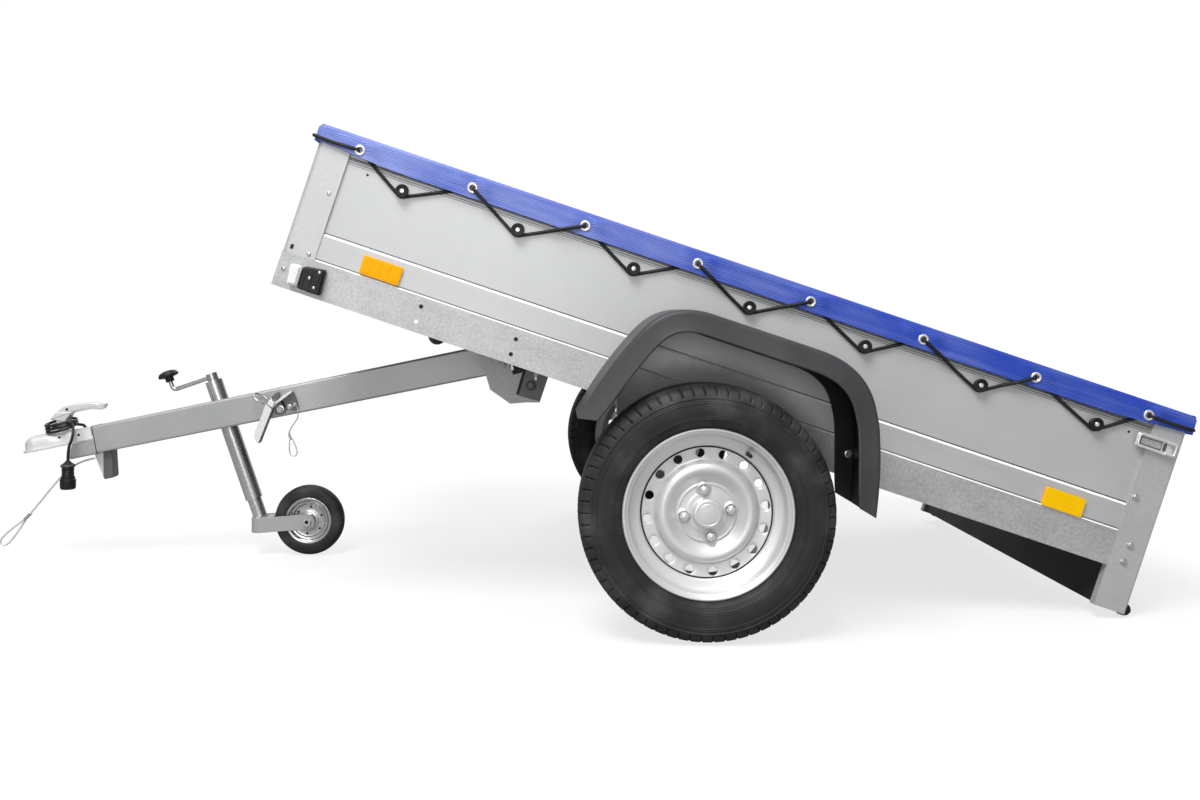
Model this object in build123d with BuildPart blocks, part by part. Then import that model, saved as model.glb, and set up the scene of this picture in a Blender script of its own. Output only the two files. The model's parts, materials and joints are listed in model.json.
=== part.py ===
"""Single-axle tipping trailer, standing on its wheels, jockey wheel and rear buffers with the bed tipped.

Three working frames are used, each upright in itself and placed at the end:
bed (x back from the front face, z up from the sills), drawbar (from the hinge bolt, forward is -x)
and jockey leg (z up along its tube). The left side is -y. Lengths are millimetres, angles degrees.
"""

import math
import os

from build123d import *

os.makedirs("parts", exist_ok=True)

# Load bed
BED_LENGTH = 2082
HALF_WIDTH = 592.5
WALL_THICKNESS = 20
INNER_HALF = HALF_WIDTH - WALL_THICKNESS
SILL_HEIGHT = 82
SILL_FLANGE = 43
SILL_HOLE_RADIUS = 5
SILL_HOLES = [(340, 60), (340, 24), (568, 58), (568, 22)]
STEEL = 3
WALL_TOP = 378
POST_WIDTH = 76
BAND_FACE = HALF_WIDTH - 2.5
PANEL_FACE = HALF_WIDTH - 6.5
RIM_FACE = HALF_WIDTH - 10.5
UPPER_CREASE = SILL_HEIGHT + 63
RIM_BOTTOM = WALL_TOP - 50
RIM_GROOVES = 3
FLOOR_THICKNESS = 12
FRONT_FACE = 4
REAR_POST_BOTTOM = -95

# Running gear, in the bed frame
AXLE_X = 1073
AXLE_Z = -155
TYRE_RADIUS = 273.5
TYRE_HALF = 78
RIM_RADIUS = 182
WHEEL_PLANE = HALF_WIDTH + 137.5
BEAM_X = AXLE_X - 143
BEAM_SIZE = 60
MOUNT_PLATE = 8
FENDER_X = AXLE_X + 4
FENDER_TOP = AXLE_Z + 402
FENDER_BOTTOM = AXLE_Z + 101
FENDER_HALF = 331
FENDER_LEAN = 17
FENDER_CORNER = 150
FENDER_FACE = WHEEL_PLANE + 72
FENDER_SKIN = 4
FENDER_BAND = 48

# Hinge between bed and drawbar, in the bed frame
PIVOT_X = 499
PIVOT_Z = -43
PIVOT_BOLT = 8
CHEEK_INNER = 41
CHEEK_THICKNESS = 5
RUNNING = 0.05

# Cross members, by their front faces
CROSS_WIDTH = 40
CROSS_FRONTS = [FRONT_FACE, PIVOT_X + 105, AXLE_X + 257]
REAR_CROSS = BED_LENGTH - 52

# Rear buffers the tipped bed stands on
BUFFER_X = BED_LENGTH + 8
BUFFER_Z = REAR_POST_BOTTOM + 9
BUFFER_RADIUS = 15
BUFFER_Y = INNER_HALF - 12.5

# Drawbar, in the drawbar frame
BAR_TILT = -11.45
BAR_FRONT = -1118
BAR_TAIL = 42
BAR_HALF_FRONT = 38
BAR_HALF_REAR = 42
BAR_WALL = 3
BALL_X = BAR_FRONT - 166
BALL_RADIUS = 25.3
BALL_DEPTH = 26
SLEEVE_X = BAR_FRONT - 62
LUG_X = BAR_FRONT - 85
HEAD_BOTTOM = 1
HEAD_TOP = 44
HEAD_FLANGE = 42
LUG_TOP = HEAD_TOP + 36
LOCK_X = -574
EYE_X = BAR_FRONT - 11
EYE_Y = -20
EYE_Z = -51

# Jockey leg, in its own frame: z along the tube, x back, crossing the drawbar's centre line
JOCKEY_X = -778
JOCKEY_Y = BAR_HALF_FRONT + 37
JOCKEY_LEAN = -7.6
OUTER_RADIUS = 24
INNER_RADIUS = 19.5
OUTER_TOP = 92
CAP_THICKNESS = 4
OUTER_BOTTOM = -262
FORK_TRAIL = 132
FORK_DROP = 34
FORK_PLATE = 8
JOCKEY_RADIUS = 100
JOCKEY_HALF = 25
SLIDE_GAP = 0.3

# Cover
COVER_SKIN = 3
COVER_UNDER = WALL_TOP + 3
COVER_TOP = COVER_UNDER + COVER_SKIN
COVER_SIDE = HALF_WIDTH + 3
COVER_END = 9
SKIRT_BOTTOM = COVER_TOP - 54
CORD_RADIUS = 4
EYELETS = 8
EYELET_FIRST = 96
EYELET_PITCH = (BED_LENGTH - EYELET_FIRST - 98) / (EYELETS - 1)
EYELET_Z = COVER_TOP - 32
KNOBS = 7
KNOB_FIRST = 216
KNOB_PITCH = (BED_LENGTH - KNOB_FIRST - 203) / (KNOBS - 1)
KNOB_Z = SKIRT_BOTTOM - 35
KNOB_RADIUS = 15.5
KNOB_GROOVE = 9
KNOB_STEM = 11
KNOB_HEAD = 7
FRONT_KNOBS = [-HALF_WIDTH + 212.5, 0, HALF_WIDTH - 212.5]

# Tailgate
GATE_GAP = 5.5
GATE_BACK = BED_LENGTH - 4
GATE_FRONT = GATE_BACK - WALL_THICKNESS
GATE_HALF = INNER_HALF - GATE_GAP
GATE_BOTTOM = SILL_HEIGHT + 6
GATE_TOP = WALL_TOP - 5
GATE_PIN_X = BED_LENGTH + 6
GATE_PIN_Z = SILL_HEIGHT
GATE_PIN_RADIUS = 5
GATE_HINGES = [-0.7 * GATE_HALF, 0, 0.7 * GATE_HALF]

# The bed's tilt follows from the buffers and the tyres both standing on the ground
reach_x = BUFFER_X - AXLE_X
reach_z = BUFFER_Z - AXLE_Z
reach = math.hypot(reach_x, reach_z)
BED_TILT = math.degrees(math.atan2(reach_z, reach_x) + math.asin((TYRE_RADIUS - BUFFER_RADIUS) / reach))


def turned(x, z, tilt):
    """A point of a frame turned by tilt about +y."""
    angle = math.radians(tilt)
    return (
        x * math.cos(angle) + z * math.sin(angle),
        -x * math.sin(angle) + z * math.cos(angle),
    )


# Where each frame's origin comes to, first measured from the axle's centre line
pivot_from_axle = turned(PIVOT_X - AXLE_X, PIVOT_Z - AXLE_Z, BED_TILT)
nose = turned(BALL_X - HEAD_FLANGE, HEAD_BOTTOM, BAR_TILT)
cover_corner = turned(BED_LENGTH + COVER_END + COVER_SKIN - AXLE_X, COVER_TOP - AXLE_Z, BED_TILT)
axle_world_x = -(pivot_from_axle[0] + nose[0] + cover_corner[0]) / 2
pivot_world = (axle_world_x + pivot_from_axle[0], TYRE_RADIUS + pivot_from_axle[1])
bed_corner = turned(-AXLE_X, -AXLE_Z, BED_TILT)
bed_world = (axle_world_x + bed_corner[0], TYRE_RADIUS + bed_corner[1])
jockey_tilt = BAR_TILT + JOCKEY_LEAN
jockey_foot = turned(JOCKEY_X, 0, BAR_TILT)
jockey_world = (pivot_world[0] + jockey_foot[0], pivot_world[1] + jockey_foot[1])
lean = math.radians(-jockey_tilt)
WHEEL_DROP = (JOCKEY_RADIUS - jockey_world[1] - FORK_TRAIL * math.sin(lean)) / math.cos(lean)
FORK_Z = WHEEL_DROP + FORK_DROP

BED = Location((bed_world[0], 0, bed_world[1]), (0, BED_TILT, 0))
BAR = Location((pivot_world[0], 0, pivot_world[1]), (0, BAR_TILT, 0))
JOCKEY = Location((jockey_world[0], JOCKEY_Y, jockey_world[1]), (0, jockey_tilt, 0))


def keep(builder, label, pose):
    """Places a finished piece by its frame's pose, labels it and writes its file."""
    piece = builder.part.moved(pose)
    piece.label = label
    export_step(piece, f"parts/{label}.step")


def bend_radii(points, share=0.45):
    """The bend at each inner point of a route: share of the shorter run, over the tangent of half the turn."""
    radii = []
    for before, here, after in zip(points, points[1:], points[2:]):
        first = Vector(*here) - Vector(*before)
        second = Vector(*after) - Vector(*here)
        half_turn = math.radians(first.get_angle(second)) / 2
        radii.append(share * min(first.length, second.length) / math.tan(half_turn))
    return radii


# Sills: a folded channel along each side with accessory holes in its outer face
with BuildPart() as sills:
    with BuildSketch(Plane.YZ) as sill_section:
        with BuildLine():
            Polyline(
                (HALF_WIDTH - SILL_FLANGE, 0),
                (HALF_WIDTH, 0),
                (HALF_WIDTH, SILL_HEIGHT),
                (HALF_WIDTH - SILL_FLANGE, SILL_HEIGHT),
                (HALF_WIDTH - SILL_FLANGE, SILL_HEIGHT - STEEL),
                (HALF_WIDTH - STEEL, SILL_HEIGHT - STEEL),
                (HALF_WIDTH - STEEL, STEEL),
                (HALF_WIDTH - SILL_FLANGE, STEEL),
                close=True,
            )
        make_face()
    extrude(amount=BED_LENGTH - POST_WIDTH)
    with BuildSketch(Plane.XZ) as sill_holes:
        with Locations(*SILL_HOLES):
            Circle(SILL_HOLE_RADIUS)
    extrude(amount=-HALF_WIDTH - 1, mode=Mode.SUBTRACT)
    mirror(about=Plane.XZ)
keep(sills, "sills", BED)

# Cross members: hollow bars between the sills, the last one between the rear posts
with BuildPart() as cross_members:
    for front in CROSS_FRONTS:
        with Locations((front + CROSS_WIDTH / 2, 0, SILL_HEIGHT / 2)):
            Box(CROSS_WIDTH, 2 * (HALF_WIDTH - STEEL), SILL_HEIGHT - 2 * STEEL)
            Box(
                CROSS_WIDTH - 2 * STEEL,
                2 * (HALF_WIDTH - STEEL),
                SILL_HEIGHT - 4 * STEEL,
                mode=Mode.SUBTRACT,
            )
    with Locations((REAR_CROSS, 0, SILL_HEIGHT / 2)):
        Box(CROSS_WIDTH, 2 * INNER_HALF, SILL_HEIGHT - 2 * STEEL)
        Box(CROSS_WIDTH - 2 * STEEL, 2 * INNER_HALF, SILL_HEIGHT - 4 * STEEL, mode=Mode.SUBTRACT)
keep(cross_members, "cross_members", BED)

# Floor board
floor_front = FRONT_FACE + WALL_THICKNESS
floor_back = GATE_FRONT - 4
with BuildPart() as floor:
    with Locations(((floor_front + floor_back) / 2, 0, SILL_HEIGHT + FLOOR_THICKNESS / 2)):
        Box(floor_back - floor_front, 2 * INNER_HALF, FLOOR_THICKNESS)
keep(floor, "floor", BED)

# Side panels: one folded wall each side, stepping in at the creases and under the cover
with BuildPart() as side_panels:
    with BuildSketch(Plane.YZ.offset(POST_WIDTH)) as wall_section:
        with BuildLine():
            Polyline(
                (INNER_HALF, SILL_HEIGHT),
                (BAND_FACE - 3, SILL_HEIGHT),
                (BAND_FACE, SILL_HEIGHT + 4),
                (BAND_FACE, UPPER_CREASE - 9),
                (PANEL_FACE, UPPER_CREASE),
                (PANEL_FACE, RIM_BOTTOM),
                (RIM_FACE, RIM_BOTTOM + 4),
                (RIM_FACE, WALL_TOP),
                (INNER_HALF, WALL_TOP),
                close=True,
            )
        make_face()
        for groove in range(RIM_GROOVES):
            with Locations((RIM_FACE, RIM_BOTTOM + 13 + 14 * groove)):
                Rectangle(4, 4, mode=Mode.SUBTRACT)
    extrude(amount=BED_LENGTH - 2 * POST_WIDTH)
    mirror(about=Plane.XZ)
keep(side_panels, "side_panels", BED)

# Front panel between the front posts, with two pressed ribs
with BuildPart() as front_panel:
    with Locations((FRONT_FACE + WALL_THICKNESS / 2, 0, (SILL_HEIGHT + WALL_TOP) / 2)):
        Box(WALL_THICKNESS, 2 * INNER_HALF, WALL_TOP - SILL_HEIGHT)
    with Locations((FRONT_FACE, 0, SILL_HEIGHT + 78), (FRONT_FACE, 0, SILL_HEIGHT + 158)):
        Box(8, 2 * INNER_HALF - 120, 14, mode=Mode.SUBTRACT)
keep(front_panel, "front_panel", BED)

# Corner posts: the front pair stands on the sills, the rear pair reaches below them
with BuildPart() as front_posts:
    with BuildSketch(Plane.XY.offset(SILL_HEIGHT)) as front_post_plan:
        with Locations((POST_WIDTH / 2, HALF_WIDTH - WALL_THICKNESS / 2)):
            Rectangle(POST_WIDTH, WALL_THICKNESS)
        fillet(front_post_plan.vertices().group_by(Axis.Y)[-1].sort_by(Axis.X)[0], 10)
    extrude(amount=WALL_TOP - SILL_HEIGHT)
    mirror(about=Plane.XZ)
keep(front_posts, "front_posts", BED)

with BuildPart() as rear_posts:
    with BuildSketch(Plane.XY.offset(REAR_POST_BOTTOM)) as rear_post_plan:
        with Locations((BED_LENGTH - POST_WIDTH / 2, HALF_WIDTH - WALL_THICKNESS / 2)):
            Rectangle(POST_WIDTH, WALL_THICKNESS)
        fillet(rear_post_plan.vertices().group_by(Axis.Y)[-1].sort_by(Axis.X)[-1], 6)
    extrude(amount=WALL_TOP - REAR_POST_BOTTOM)
    mirror(about=Plane.XZ)
keep(rear_posts, "rear_posts", BED)

# Hinge cheeks either side of the drawbar, on the second cross member
cheek_back = CROSS_FRONTS[1]
cheek_outline = [
    (PIVOT_X - 25, PIVOT_Z + 103),
    (PIVOT_X - 25, PIVOT_Z - 15),
    (PIVOT_X + 12, PIVOT_Z - 43),
    (PIVOT_X + 34, PIVOT_Z - 74),
    (PIVOT_X + 99, PIVOT_Z - 93),
    (PIVOT_X + 141, PIVOT_Z - 75),
    (PIVOT_X + 175, PIVOT_Z - 64),
    (PIVOT_X + 175, STEEL),
    (cheek_back, STEEL),
    (cheek_back, PIVOT_Z + 103),
]
with BuildPart() as hinge_cheeks:
    with BuildSketch(Plane.XZ.offset(-CHEEK_INNER - CHEEK_THICKNESS)) as cheek_face:
        with BuildLine():
            Polyline(*cheek_outline, close=True)
        make_face()
        with Locations((PIVOT_X, PIVOT_Z)):
            Circle(PIVOT_BOLT, mode=Mode.SUBTRACT)
    extrude(amount=CHEEK_THICKNESS)
    mirror(about=Plane.XZ)
keep(hinge_cheeks, "hinge_cheeks", BED)

with BuildPart() as pivot_bolt:
    with BuildSketch(Plane.XZ.offset(-CHEEK_INNER - CHEEK_THICKNESS)) as bolt_shank:
        with Locations((PIVOT_X, PIVOT_Z)):
            Circle(PIVOT_BOLT)
    extrude(amount=2 * (CHEEK_INNER + CHEEK_THICKNESS))
    for start in (CHEEK_INNER + CHEEK_THICKNESS, -CHEEK_INNER - CHEEK_THICKNESS - 10):
        with BuildSketch(Plane.XZ.offset(start)) as bolt_head:
            with Locations((PIVOT_X, PIVOT_Z)):
                RegularPolygon(13.5, 6)
        extrude(amount=10)
keep(pivot_bolt, "pivot_bolt", BED)

# Axle beam with its mounting plates under the sills
BEAM_Z = -MOUNT_PLATE - BEAM_SIZE / 2
with BuildPart() as axle_beam:
    with Locations((BEAM_X, 0, BEAM_Z)):
        Box(BEAM_SIZE, 2 * HALF_WIDTH - 40, BEAM_SIZE)
    with BuildSketch(Plane.XZ.offset(-HALF_WIDTH)) as mount_face:
        with BuildLine():
            Polyline(
                (BEAM_X - 98, 0),
                (BEAM_X + 74, 0),
                (BEAM_X + 60, -30),
                (BEAM_X + 32, BEAM_Z - BEAM_SIZE / 2),
                (BEAM_X - 32, BEAM_Z - BEAM_SIZE / 2),
                (BEAM_X - 90, -30),
                close=True,
            )
        make_face()
    extrude(amount=32)
    mirror(about=Plane.XZ)
keep(axle_beam, "axle_beam", BED)

# Trailing arms from the beam's ends to the wheels' stub axles
ARM_THICKNESS = 28
STUB_RADIUS = 15
STUB_END = WHEEL_PLANE - 30
arm_angle = math.degrees(math.atan2(AXLE_Z - BEAM_Z, AXLE_X - BEAM_X))
arm_length = math.hypot(AXLE_X - BEAM_X, AXLE_Z - BEAM_Z)
with BuildPart() as swing_arms:
    with BuildSketch(Plane.XZ.offset(-HALF_WIDTH - ARM_THICKNESS)) as arm_face:
        with Locations(((BEAM_X + AXLE_X) / 2, (BEAM_Z + AXLE_Z) / 2)):
            SlotCenterToCenter(arm_length, 54, rotation=arm_angle)
    extrude(amount=ARM_THICKNESS)
    with BuildSketch(Plane.XZ.offset(-STUB_END)) as stub:
        with Locations((AXLE_X, AXLE_Z)):
            Circle(STUB_RADIUS)
    extrude(amount=STUB_END - HALF_WIDTH - ARM_THICKNESS)
    mirror(about=Plane.XZ)
keep(swing_arms, "swing_arms", BED)

# Mudguards: an arched channel over each wheel, with a band along its outer edge and one at the wall


def fender_line(inset):
    """The arch's outline, a given distance inside its outer face, as points with its two bends rounded."""
    slope = math.radians(FENDER_LEAN)
    foot = FENDER_HALF - inset / math.cos(slope)
    top = FENDER_TOP - inset
    corner = foot - math.tan(slope) * (top - FENDER_BOTTOM)
    FilletPolyline(
        (FENDER_X - foot, FENDER_BOTTOM),
        (FENDER_X - corner, top),
        (FENDER_X + corner, top),
        (FENDER_X + foot, FENDER_BOTTOM),
        radius=FENDER_CORNER - inset,
    )
    Line((FENDER_X + foot, FENDER_BOTTOM), (FENDER_X - foot, FENDER_BOTTOM))


with BuildPart() as fenders:
    with BuildSketch(Plane.XZ.offset(-FENDER_FACE)) as fender_outside:
        with BuildLine():
            fender_line(0)
        make_face()
    extrude(amount=FENDER_FACE - HALF_WIDTH)
    fillet(fenders.edges().filter_by(Plane.XZ).group_by(Axis.Y)[-1].filter_by(lambda e: e.length > 100).filter_by(
        lambda e: e.center().Z > FENDER_BOTTOM + 1), 8)
    with BuildSketch(Plane.XZ.offset(-FENDER_FACE + FENDER_SKIN)) as fender_inside:
        with BuildLine():
            fender_line(FENDER_SKIN)
        make_face()
    extrude(amount=FENDER_FACE - HALF_WIDTH - 2 * FENDER_SKIN, mode=Mode.SUBTRACT)
    with BuildSketch(Plane.XZ.offset(-FENDER_FACE - 1)) as fender_mouth:
        with BuildLine():
            fender_line(FENDER_BAND)
        make_face()
    extrude(amount=FENDER_FACE - HALF_WIDTH + 2, mode=Mode.SUBTRACT)
    mirror(about=Plane.XZ)
keep(fenders, "fenders", BED)


# Wheels: each tyre, rim and hub is drawn as half a section and turned about the axle
def wheel_plane(side):
    """Section plane of a wheel: x is the radius upwards, y runs outwards from the wheel's middle."""
    return Plane(
        origin=(AXLE_X, side * WHEEL_PLANE, AXLE_Z),
        x_dir=(0, 0, 1),
        z_dir=(-side, 0, 0),
    )


def spin_axis(side):
    return Axis((AXLE_X, side * WHEEL_PLANE, AXLE_Z), (0, 1, 0))


tyre_outside = [
    (167.2, 53.5),
    (178, 55.5),
    (183, 58),
    (190, 68),
    (204, 75.5),
    (222, TYRE_HALF),
    (243, 76),
    (260, 69),
    (268, 60),
    (272, 46),
    (TYRE_RADIUS, 24),
]
tyre_inside = [(258, 52), (246, 64), (220, 68), (200, 63), (184, 48), (167.2, 44)]
rim_section = [
    (160, -61),
    (167, -57),
    (178, -60),
    (RIM_RADIUS, -62),
    (RIM_RADIUS, -58),
    (178, -56),
    (167, -54),
    (167, -30),
    (155, -20),
    (150, 6),
    (155, 24),
    (166, 32),
    (167, 54),
    (178, 56),
    (RIM_RADIUS, 58),
    (RIM_RADIUS, 62),
    (177, 61),
    (163, 58),
    (162, 36),
    (150, 29),
    (137, 27),
    (118, 24),
    (108, 41),
    (96, 45),
    (82, 43),
    (66, 34),
    (31, 34),
    (31, 30),
    (67, 30),
    (84, 39),
    (96, 41),
    (105, 38),
    (114, 20),
    (138, 23),
    (146, 20),
    (146, -20),
    (161, -33),
]
for side, name in ((-1, "left"), (1, "right")):
    with BuildPart() as tyre:
        with BuildSketch(wheel_plane(side)) as tyre_section:
            with BuildLine():
                outline = tyre_outside + [(radius, -out) for radius, out in reversed(tyre_outside)]
                cavity = [(radius, -out) for radius, out in reversed(tyre_inside)] + tyre_inside
                Polyline(*outline, *cavity, close=True)
            make_face()
        revolve(axis=spin_axis(side))
    keep(tyre, f"tyre_{name}", BED)

    with BuildPart() as rim:
        with BuildSketch(wheel_plane(side)) as rim_half:
            with BuildLine():
                Polyline(*rim_section, close=True)
            make_face()
        revolve(axis=spin_axis(side))
        face = Plane(origin=(AXLE_X, side * WHEEL_PLANE, AXLE_Z), x_dir=(1, 0, 0), z_dir=(0, side, 0))
        with BuildSketch(face) as vent_holes:
            with PolarLocations(126.5, 16, start_angle=6):
                Circle(9.5)
        extrude(amount=60, mode=Mode.SUBTRACT)
    keep(rim, f"rim_{name}", BED)

    with BuildPart() as hub:
        with BuildSketch(wheel_plane(side)) as hub_half:
            with BuildLine():
                Polyline(
                    (STUB_RADIUS + RUNNING, -72),
                    (38, -72),
                    (38, 16),
                    (64, 18),
                    (64, 30),
                    (30, 30),
                    (30, 48),
                    (24, 54),
                    (0, 55),
                    (0, 2),
                    (STUB_RADIUS + RUNNING, 2),
                    close=True,
                )
            make_face()
        revolve(axis=spin_axis(side))
        with BuildSketch(face.offset(34)) as wheel_bolts:
            with PolarLocations(50, 4, start_angle=45):
                RegularPolygon(10, 6)
        extrude(amount=14)
    keep(hub, f"hub_{name}", BED)

# Lamp board across the back below the bed, with its lamps and blank plate
BOARD_FRONT = BED_LENGTH - 68
BOARD_BACK = BOARD_FRONT + 16
board_z = REAR_POST_BOTTOM / 2 + 1
with BuildPart() as lamp_board:
    with Locations(((BOARD_FRONT + BOARD_BACK) / 2, 0, board_z)):
        Box(BOARD_BACK - BOARD_FRONT, 2 * INNER_HALF, -REAR_POST_BOTTOM - 4)
keep(lamp_board, "lamp_board", BED)

LAMP_DEPTH = 34
LAMP_WIDTH = 200
LAMP_HEIGHT = 76
LAMP_MARGIN = 42.5
lamp_inner = INNER_HALF - LAMP_MARGIN - LAMP_WIDTH
with BuildPart() as rear_lamps:
    for side in (-1, 1):
        with Locations((BOARD_BACK + LAMP_DEPTH / 2, side * (lamp_inner + LAMP_WIDTH / 2), board_z)):
            Box(LAMP_DEPTH, LAMP_WIDTH, LAMP_HEIGHT)
    fillet(rear_lamps.edges().filter_by(Axis.X), 10)
keep(rear_lamps, "rear_lamps", BED)

PLATE_THICKNESS = 6
PLATE_HEIGHT = 80
PLATE_GAP = 70
with BuildPart() as number_plate:
    with Locations((BOARD_BACK + PLATE_THICKNESS / 2, 0, board_z)):
        Box(PLATE_THICKNESS, 2 * (lamp_inner - PLATE_GAP), PLATE_HEIGHT)
keep(number_plate, "number_plate", BED)

# Front marker lamps on the sills: a dark base and a clear lens at its front end
with BuildPart() as front_lamp_bases:
    with BuildSketch(Plane.XZ.offset(HALF_WIDTH)) as lamp_face:
        with Locations((83, SILL_HEIGHT / 2 - 5)):
            RectangleRounded(58, 58, 8)
    extrude(amount=24)
    mirror(about=Plane.XZ)
keep(front_lamp_bases, "front_lamp_bases", BED)

with BuildPart() as front_lamp_lenses:
    with BuildSketch(Plane.XZ.offset(HALF_WIDTH)) as lens_face:
        with Locations((39, SILL_HEIGHT / 2 - 5)):
            RectangleRounded(30, 60, 8)
    extrude(amount=30)
    mirror(about=Plane.XZ)
keep(front_lamp_lenses, "front_lamp_lenses", BED)

# Side reflectors on the lower band of each wall
with BuildPart() as side_reflectors:
    with BuildSketch(Plane.XZ.offset(BAND_FACE)) as reflector_face:
        with Locations((228, SILL_HEIGHT + 27), (BED_LENGTH - 216, SILL_HEIGHT + 22)):
            RectangleRounded(94, 43, 5)
    extrude(amount=7)
    mirror(about=Plane.XZ)
keep(side_reflectors, "side_reflectors", BED)

# Rear buffers: a rubber stub with a ball end on each side, on a bracket from the post
with BuildPart() as rubber_buffers:
    for side in (-1, 1):
        with BuildSketch(Plane.YZ.offset(BED_LENGTH - 46)) as stub_section:
            with Locations((side * BUFFER_Y, BUFFER_Z)):
                Circle(BUFFER_RADIUS - 3)
        extrude(amount=BUFFER_X - BED_LENGTH + 46)
        with Locations((BUFFER_X, side * BUFFER_Y, BUFFER_Z)):
            Sphere(BUFFER_RADIUS)
keep(rubber_buffers, "rubber_buffers", BED)

# Latches that hold the tailgate, one on each rear post
LATCH_Z = WALL_TOP - 88
with BuildPart() as latches:
    with BuildSketch(Plane.XZ.offset(HALF_WIDTH)) as latch_base:
        with Locations((BED_LENGTH - 42, LATCH_Z)):
            RectangleRounded(76, 30, 6)
    extrude(amount=6)
    with BuildSketch(Plane.XZ.offset(HALF_WIDTH + 6)) as latch_lever:
        with Locations((BED_LENGTH - 56, LATCH_Z)):
            RectangleRounded(86, 20, 6)
    extrude(amount=10)
    mirror(about=Plane.XZ)
keep(latches, "latches", BED)

# Knobs that hold the cover's elastic cord, along both sides and across the front
with BuildPart() as cord_knobs:
    for index in range(KNOBS):
        with BuildSketch(Plane.XZ.offset(PANEL_FACE)) as knob_stem:
            with Locations((KNOB_FIRST + KNOB_PITCH * index, KNOB_Z)):
                Circle(KNOB_GROOVE)
        extrude(amount=KNOB_STEM)
        with BuildSketch(Plane.XZ.offset(PANEL_FACE + KNOB_STEM)) as knob_head:
            with Locations((KNOB_FIRST + KNOB_PITCH * index, KNOB_Z)):
                Circle(KNOB_RADIUS)
        extrude(amount=KNOB_HEAD)
    mirror(about=Plane.XZ)
    with BuildSketch(Plane.YZ.offset(FRONT_FACE - KNOB_STEM)) as front_stems:
        with Locations(*[(across, KNOB_Z) for across in FRONT_KNOBS]):
            Circle(KNOB_GROOVE)
    extrude(amount=KNOB_STEM)
    with BuildSketch(Plane.YZ.offset(FRONT_FACE - KNOB_STEM - KNOB_HEAD)) as front_heads:
        with Locations(*[(across, KNOB_Z) for across in FRONT_KNOBS]):
            Circle(KNOB_RADIUS)
    extrude(amount=KNOB_HEAD)
keep(cord_knobs, "cord_knobs", BED)

# Cover: a flat sheet with skirts down the front and sides, and a loose flap at the back
cover_front = -COVER_END - COVER_SKIN
cover_back = BED_LENGTH + COVER_END
cover_half = COVER_SIDE + COVER_SKIN
with BuildPart() as cover_sheet:
    with Locations(((cover_front + cover_back) / 2, 0, (SKIRT_BOTTOM + COVER_TOP) / 2)):
        Box(cover_back - cover_front, 2 * cover_half, COVER_TOP - SKIRT_BOTTOM)
    fillet(cover_sheet.edges().filter_by(Axis.Z).group_by(Axis.X)[0], 12)
    with Locations(((cover_back - COVER_END) / 2, 0, (SKIRT_BOTTOM + COVER_UNDER) / 2)):
        Box(
            cover_back + COVER_END,
            2 * COVER_SIDE,
            COVER_UNDER - SKIRT_BOTTOM,
            mode=Mode.SUBTRACT,
        )
keep(cover_sheet, "cover_sheet", BED)

with BuildPart() as cover_rear_flap:
    with Locations((cover_back + COVER_SKIN / 2, 0, (SKIRT_BOTTOM + COVER_TOP) / 2)):
        Box(COVER_SKIN, 2 * cover_half, COVER_TOP - SKIRT_BOTTOM)
keep(cover_rear_flap, "cover_rear_flap", BED)

# Elastic cord: spans from eyelet to knob to eyelet, by turns behind and over the skirt
CORD_BEHIND = PANEL_FACE + CORD_RADIUS + 0.5
CORD_OVER = cover_half + CORD_RADIUS + 0.3
knob_reach = KNOB_GROOVE + CORD_RADIUS + 3
last_eyelet = EYELET_FIRST + EYELET_PITCH * (EYELETS - 1)
end_half = HALF_WIDTH - 32.5
with BuildPart() as cover_cord:
    for index in range(KNOBS):
        left_x = EYELET_FIRST + EYELET_PITCH * index
        right_x = left_x + EYELET_PITCH
        knob_x = KNOB_FIRST + KNOB_PITCH * index
        route = [
            (knob_x - knob_reach, -CORD_BEHIND, KNOB_Z - 4),
            (knob_x, -CORD_BEHIND, KNOB_Z - knob_reach - 5),
            (knob_x + knob_reach, -CORD_BEHIND, KNOB_Z - 4),
        ]
        if index % 2 == 0:
            route = [(left_x + 4, -CORD_BEHIND, EYELET_Z - 6)] + route
            route += [(right_x - 4, -CORD_BEHIND, EYELET_Z - 6)]
        else:
            hem_left = left_x + 0.46 * (knob_x - left_x)
            hem_right = right_x - 0.46 * (right_x - knob_x)
            hem_z = SKIRT_BOTTOM - CORD_RADIUS
            route = [(left_x + 4, -CORD_OVER, EYELET_Z), (hem_left, -CORD_OVER, hem_z)] + route
            route += [(hem_right, -CORD_OVER, hem_z), (right_x - 4, -CORD_OVER, EYELET_Z)]
        with BuildLine() as span:
            FilletPolyline(*route, radius=8)
        with BuildSketch(Plane(span.line @ 0, z_dir=span.line % 0)) as span_section:
            Circle(CORD_RADIUS)
        sweep(path=span.line)
    for start_x, stop_x in ((EYELET_FIRST, 12), (last_eyelet, BED_LENGTH - 8)):
        with BuildSketch(Plane.YZ.offset(min(start_x, stop_x))) as corner_run:
            with Locations((-CORD_OVER, EYELET_Z)):
                Circle(CORD_RADIUS)
        extrude(amount=abs(start_x - stop_x))
    mirror(about=Plane.XZ)
    with BuildSketch(Plane.XZ.offset(-end_half)) as front_run:
        with Locations((cover_front - CORD_RADIUS - 0.3, EYELET_Z)):
            Circle(CORD_RADIUS)
    extrude(amount=2 * end_half)
keep(cover_cord, "cover_cord", BED)

with BuildPart() as cover_cord_rear:
    with BuildSketch(Plane.XZ.offset(-end_half)) as rear_run:
        with Locations((cover_back + COVER_SKIN + CORD_RADIUS + 0.3, EYELET_Z)):
            Circle(CORD_RADIUS)
    extrude(amount=2 * end_half)
keep(cover_cord_rear, "cover_cord_rear", BED)

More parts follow.
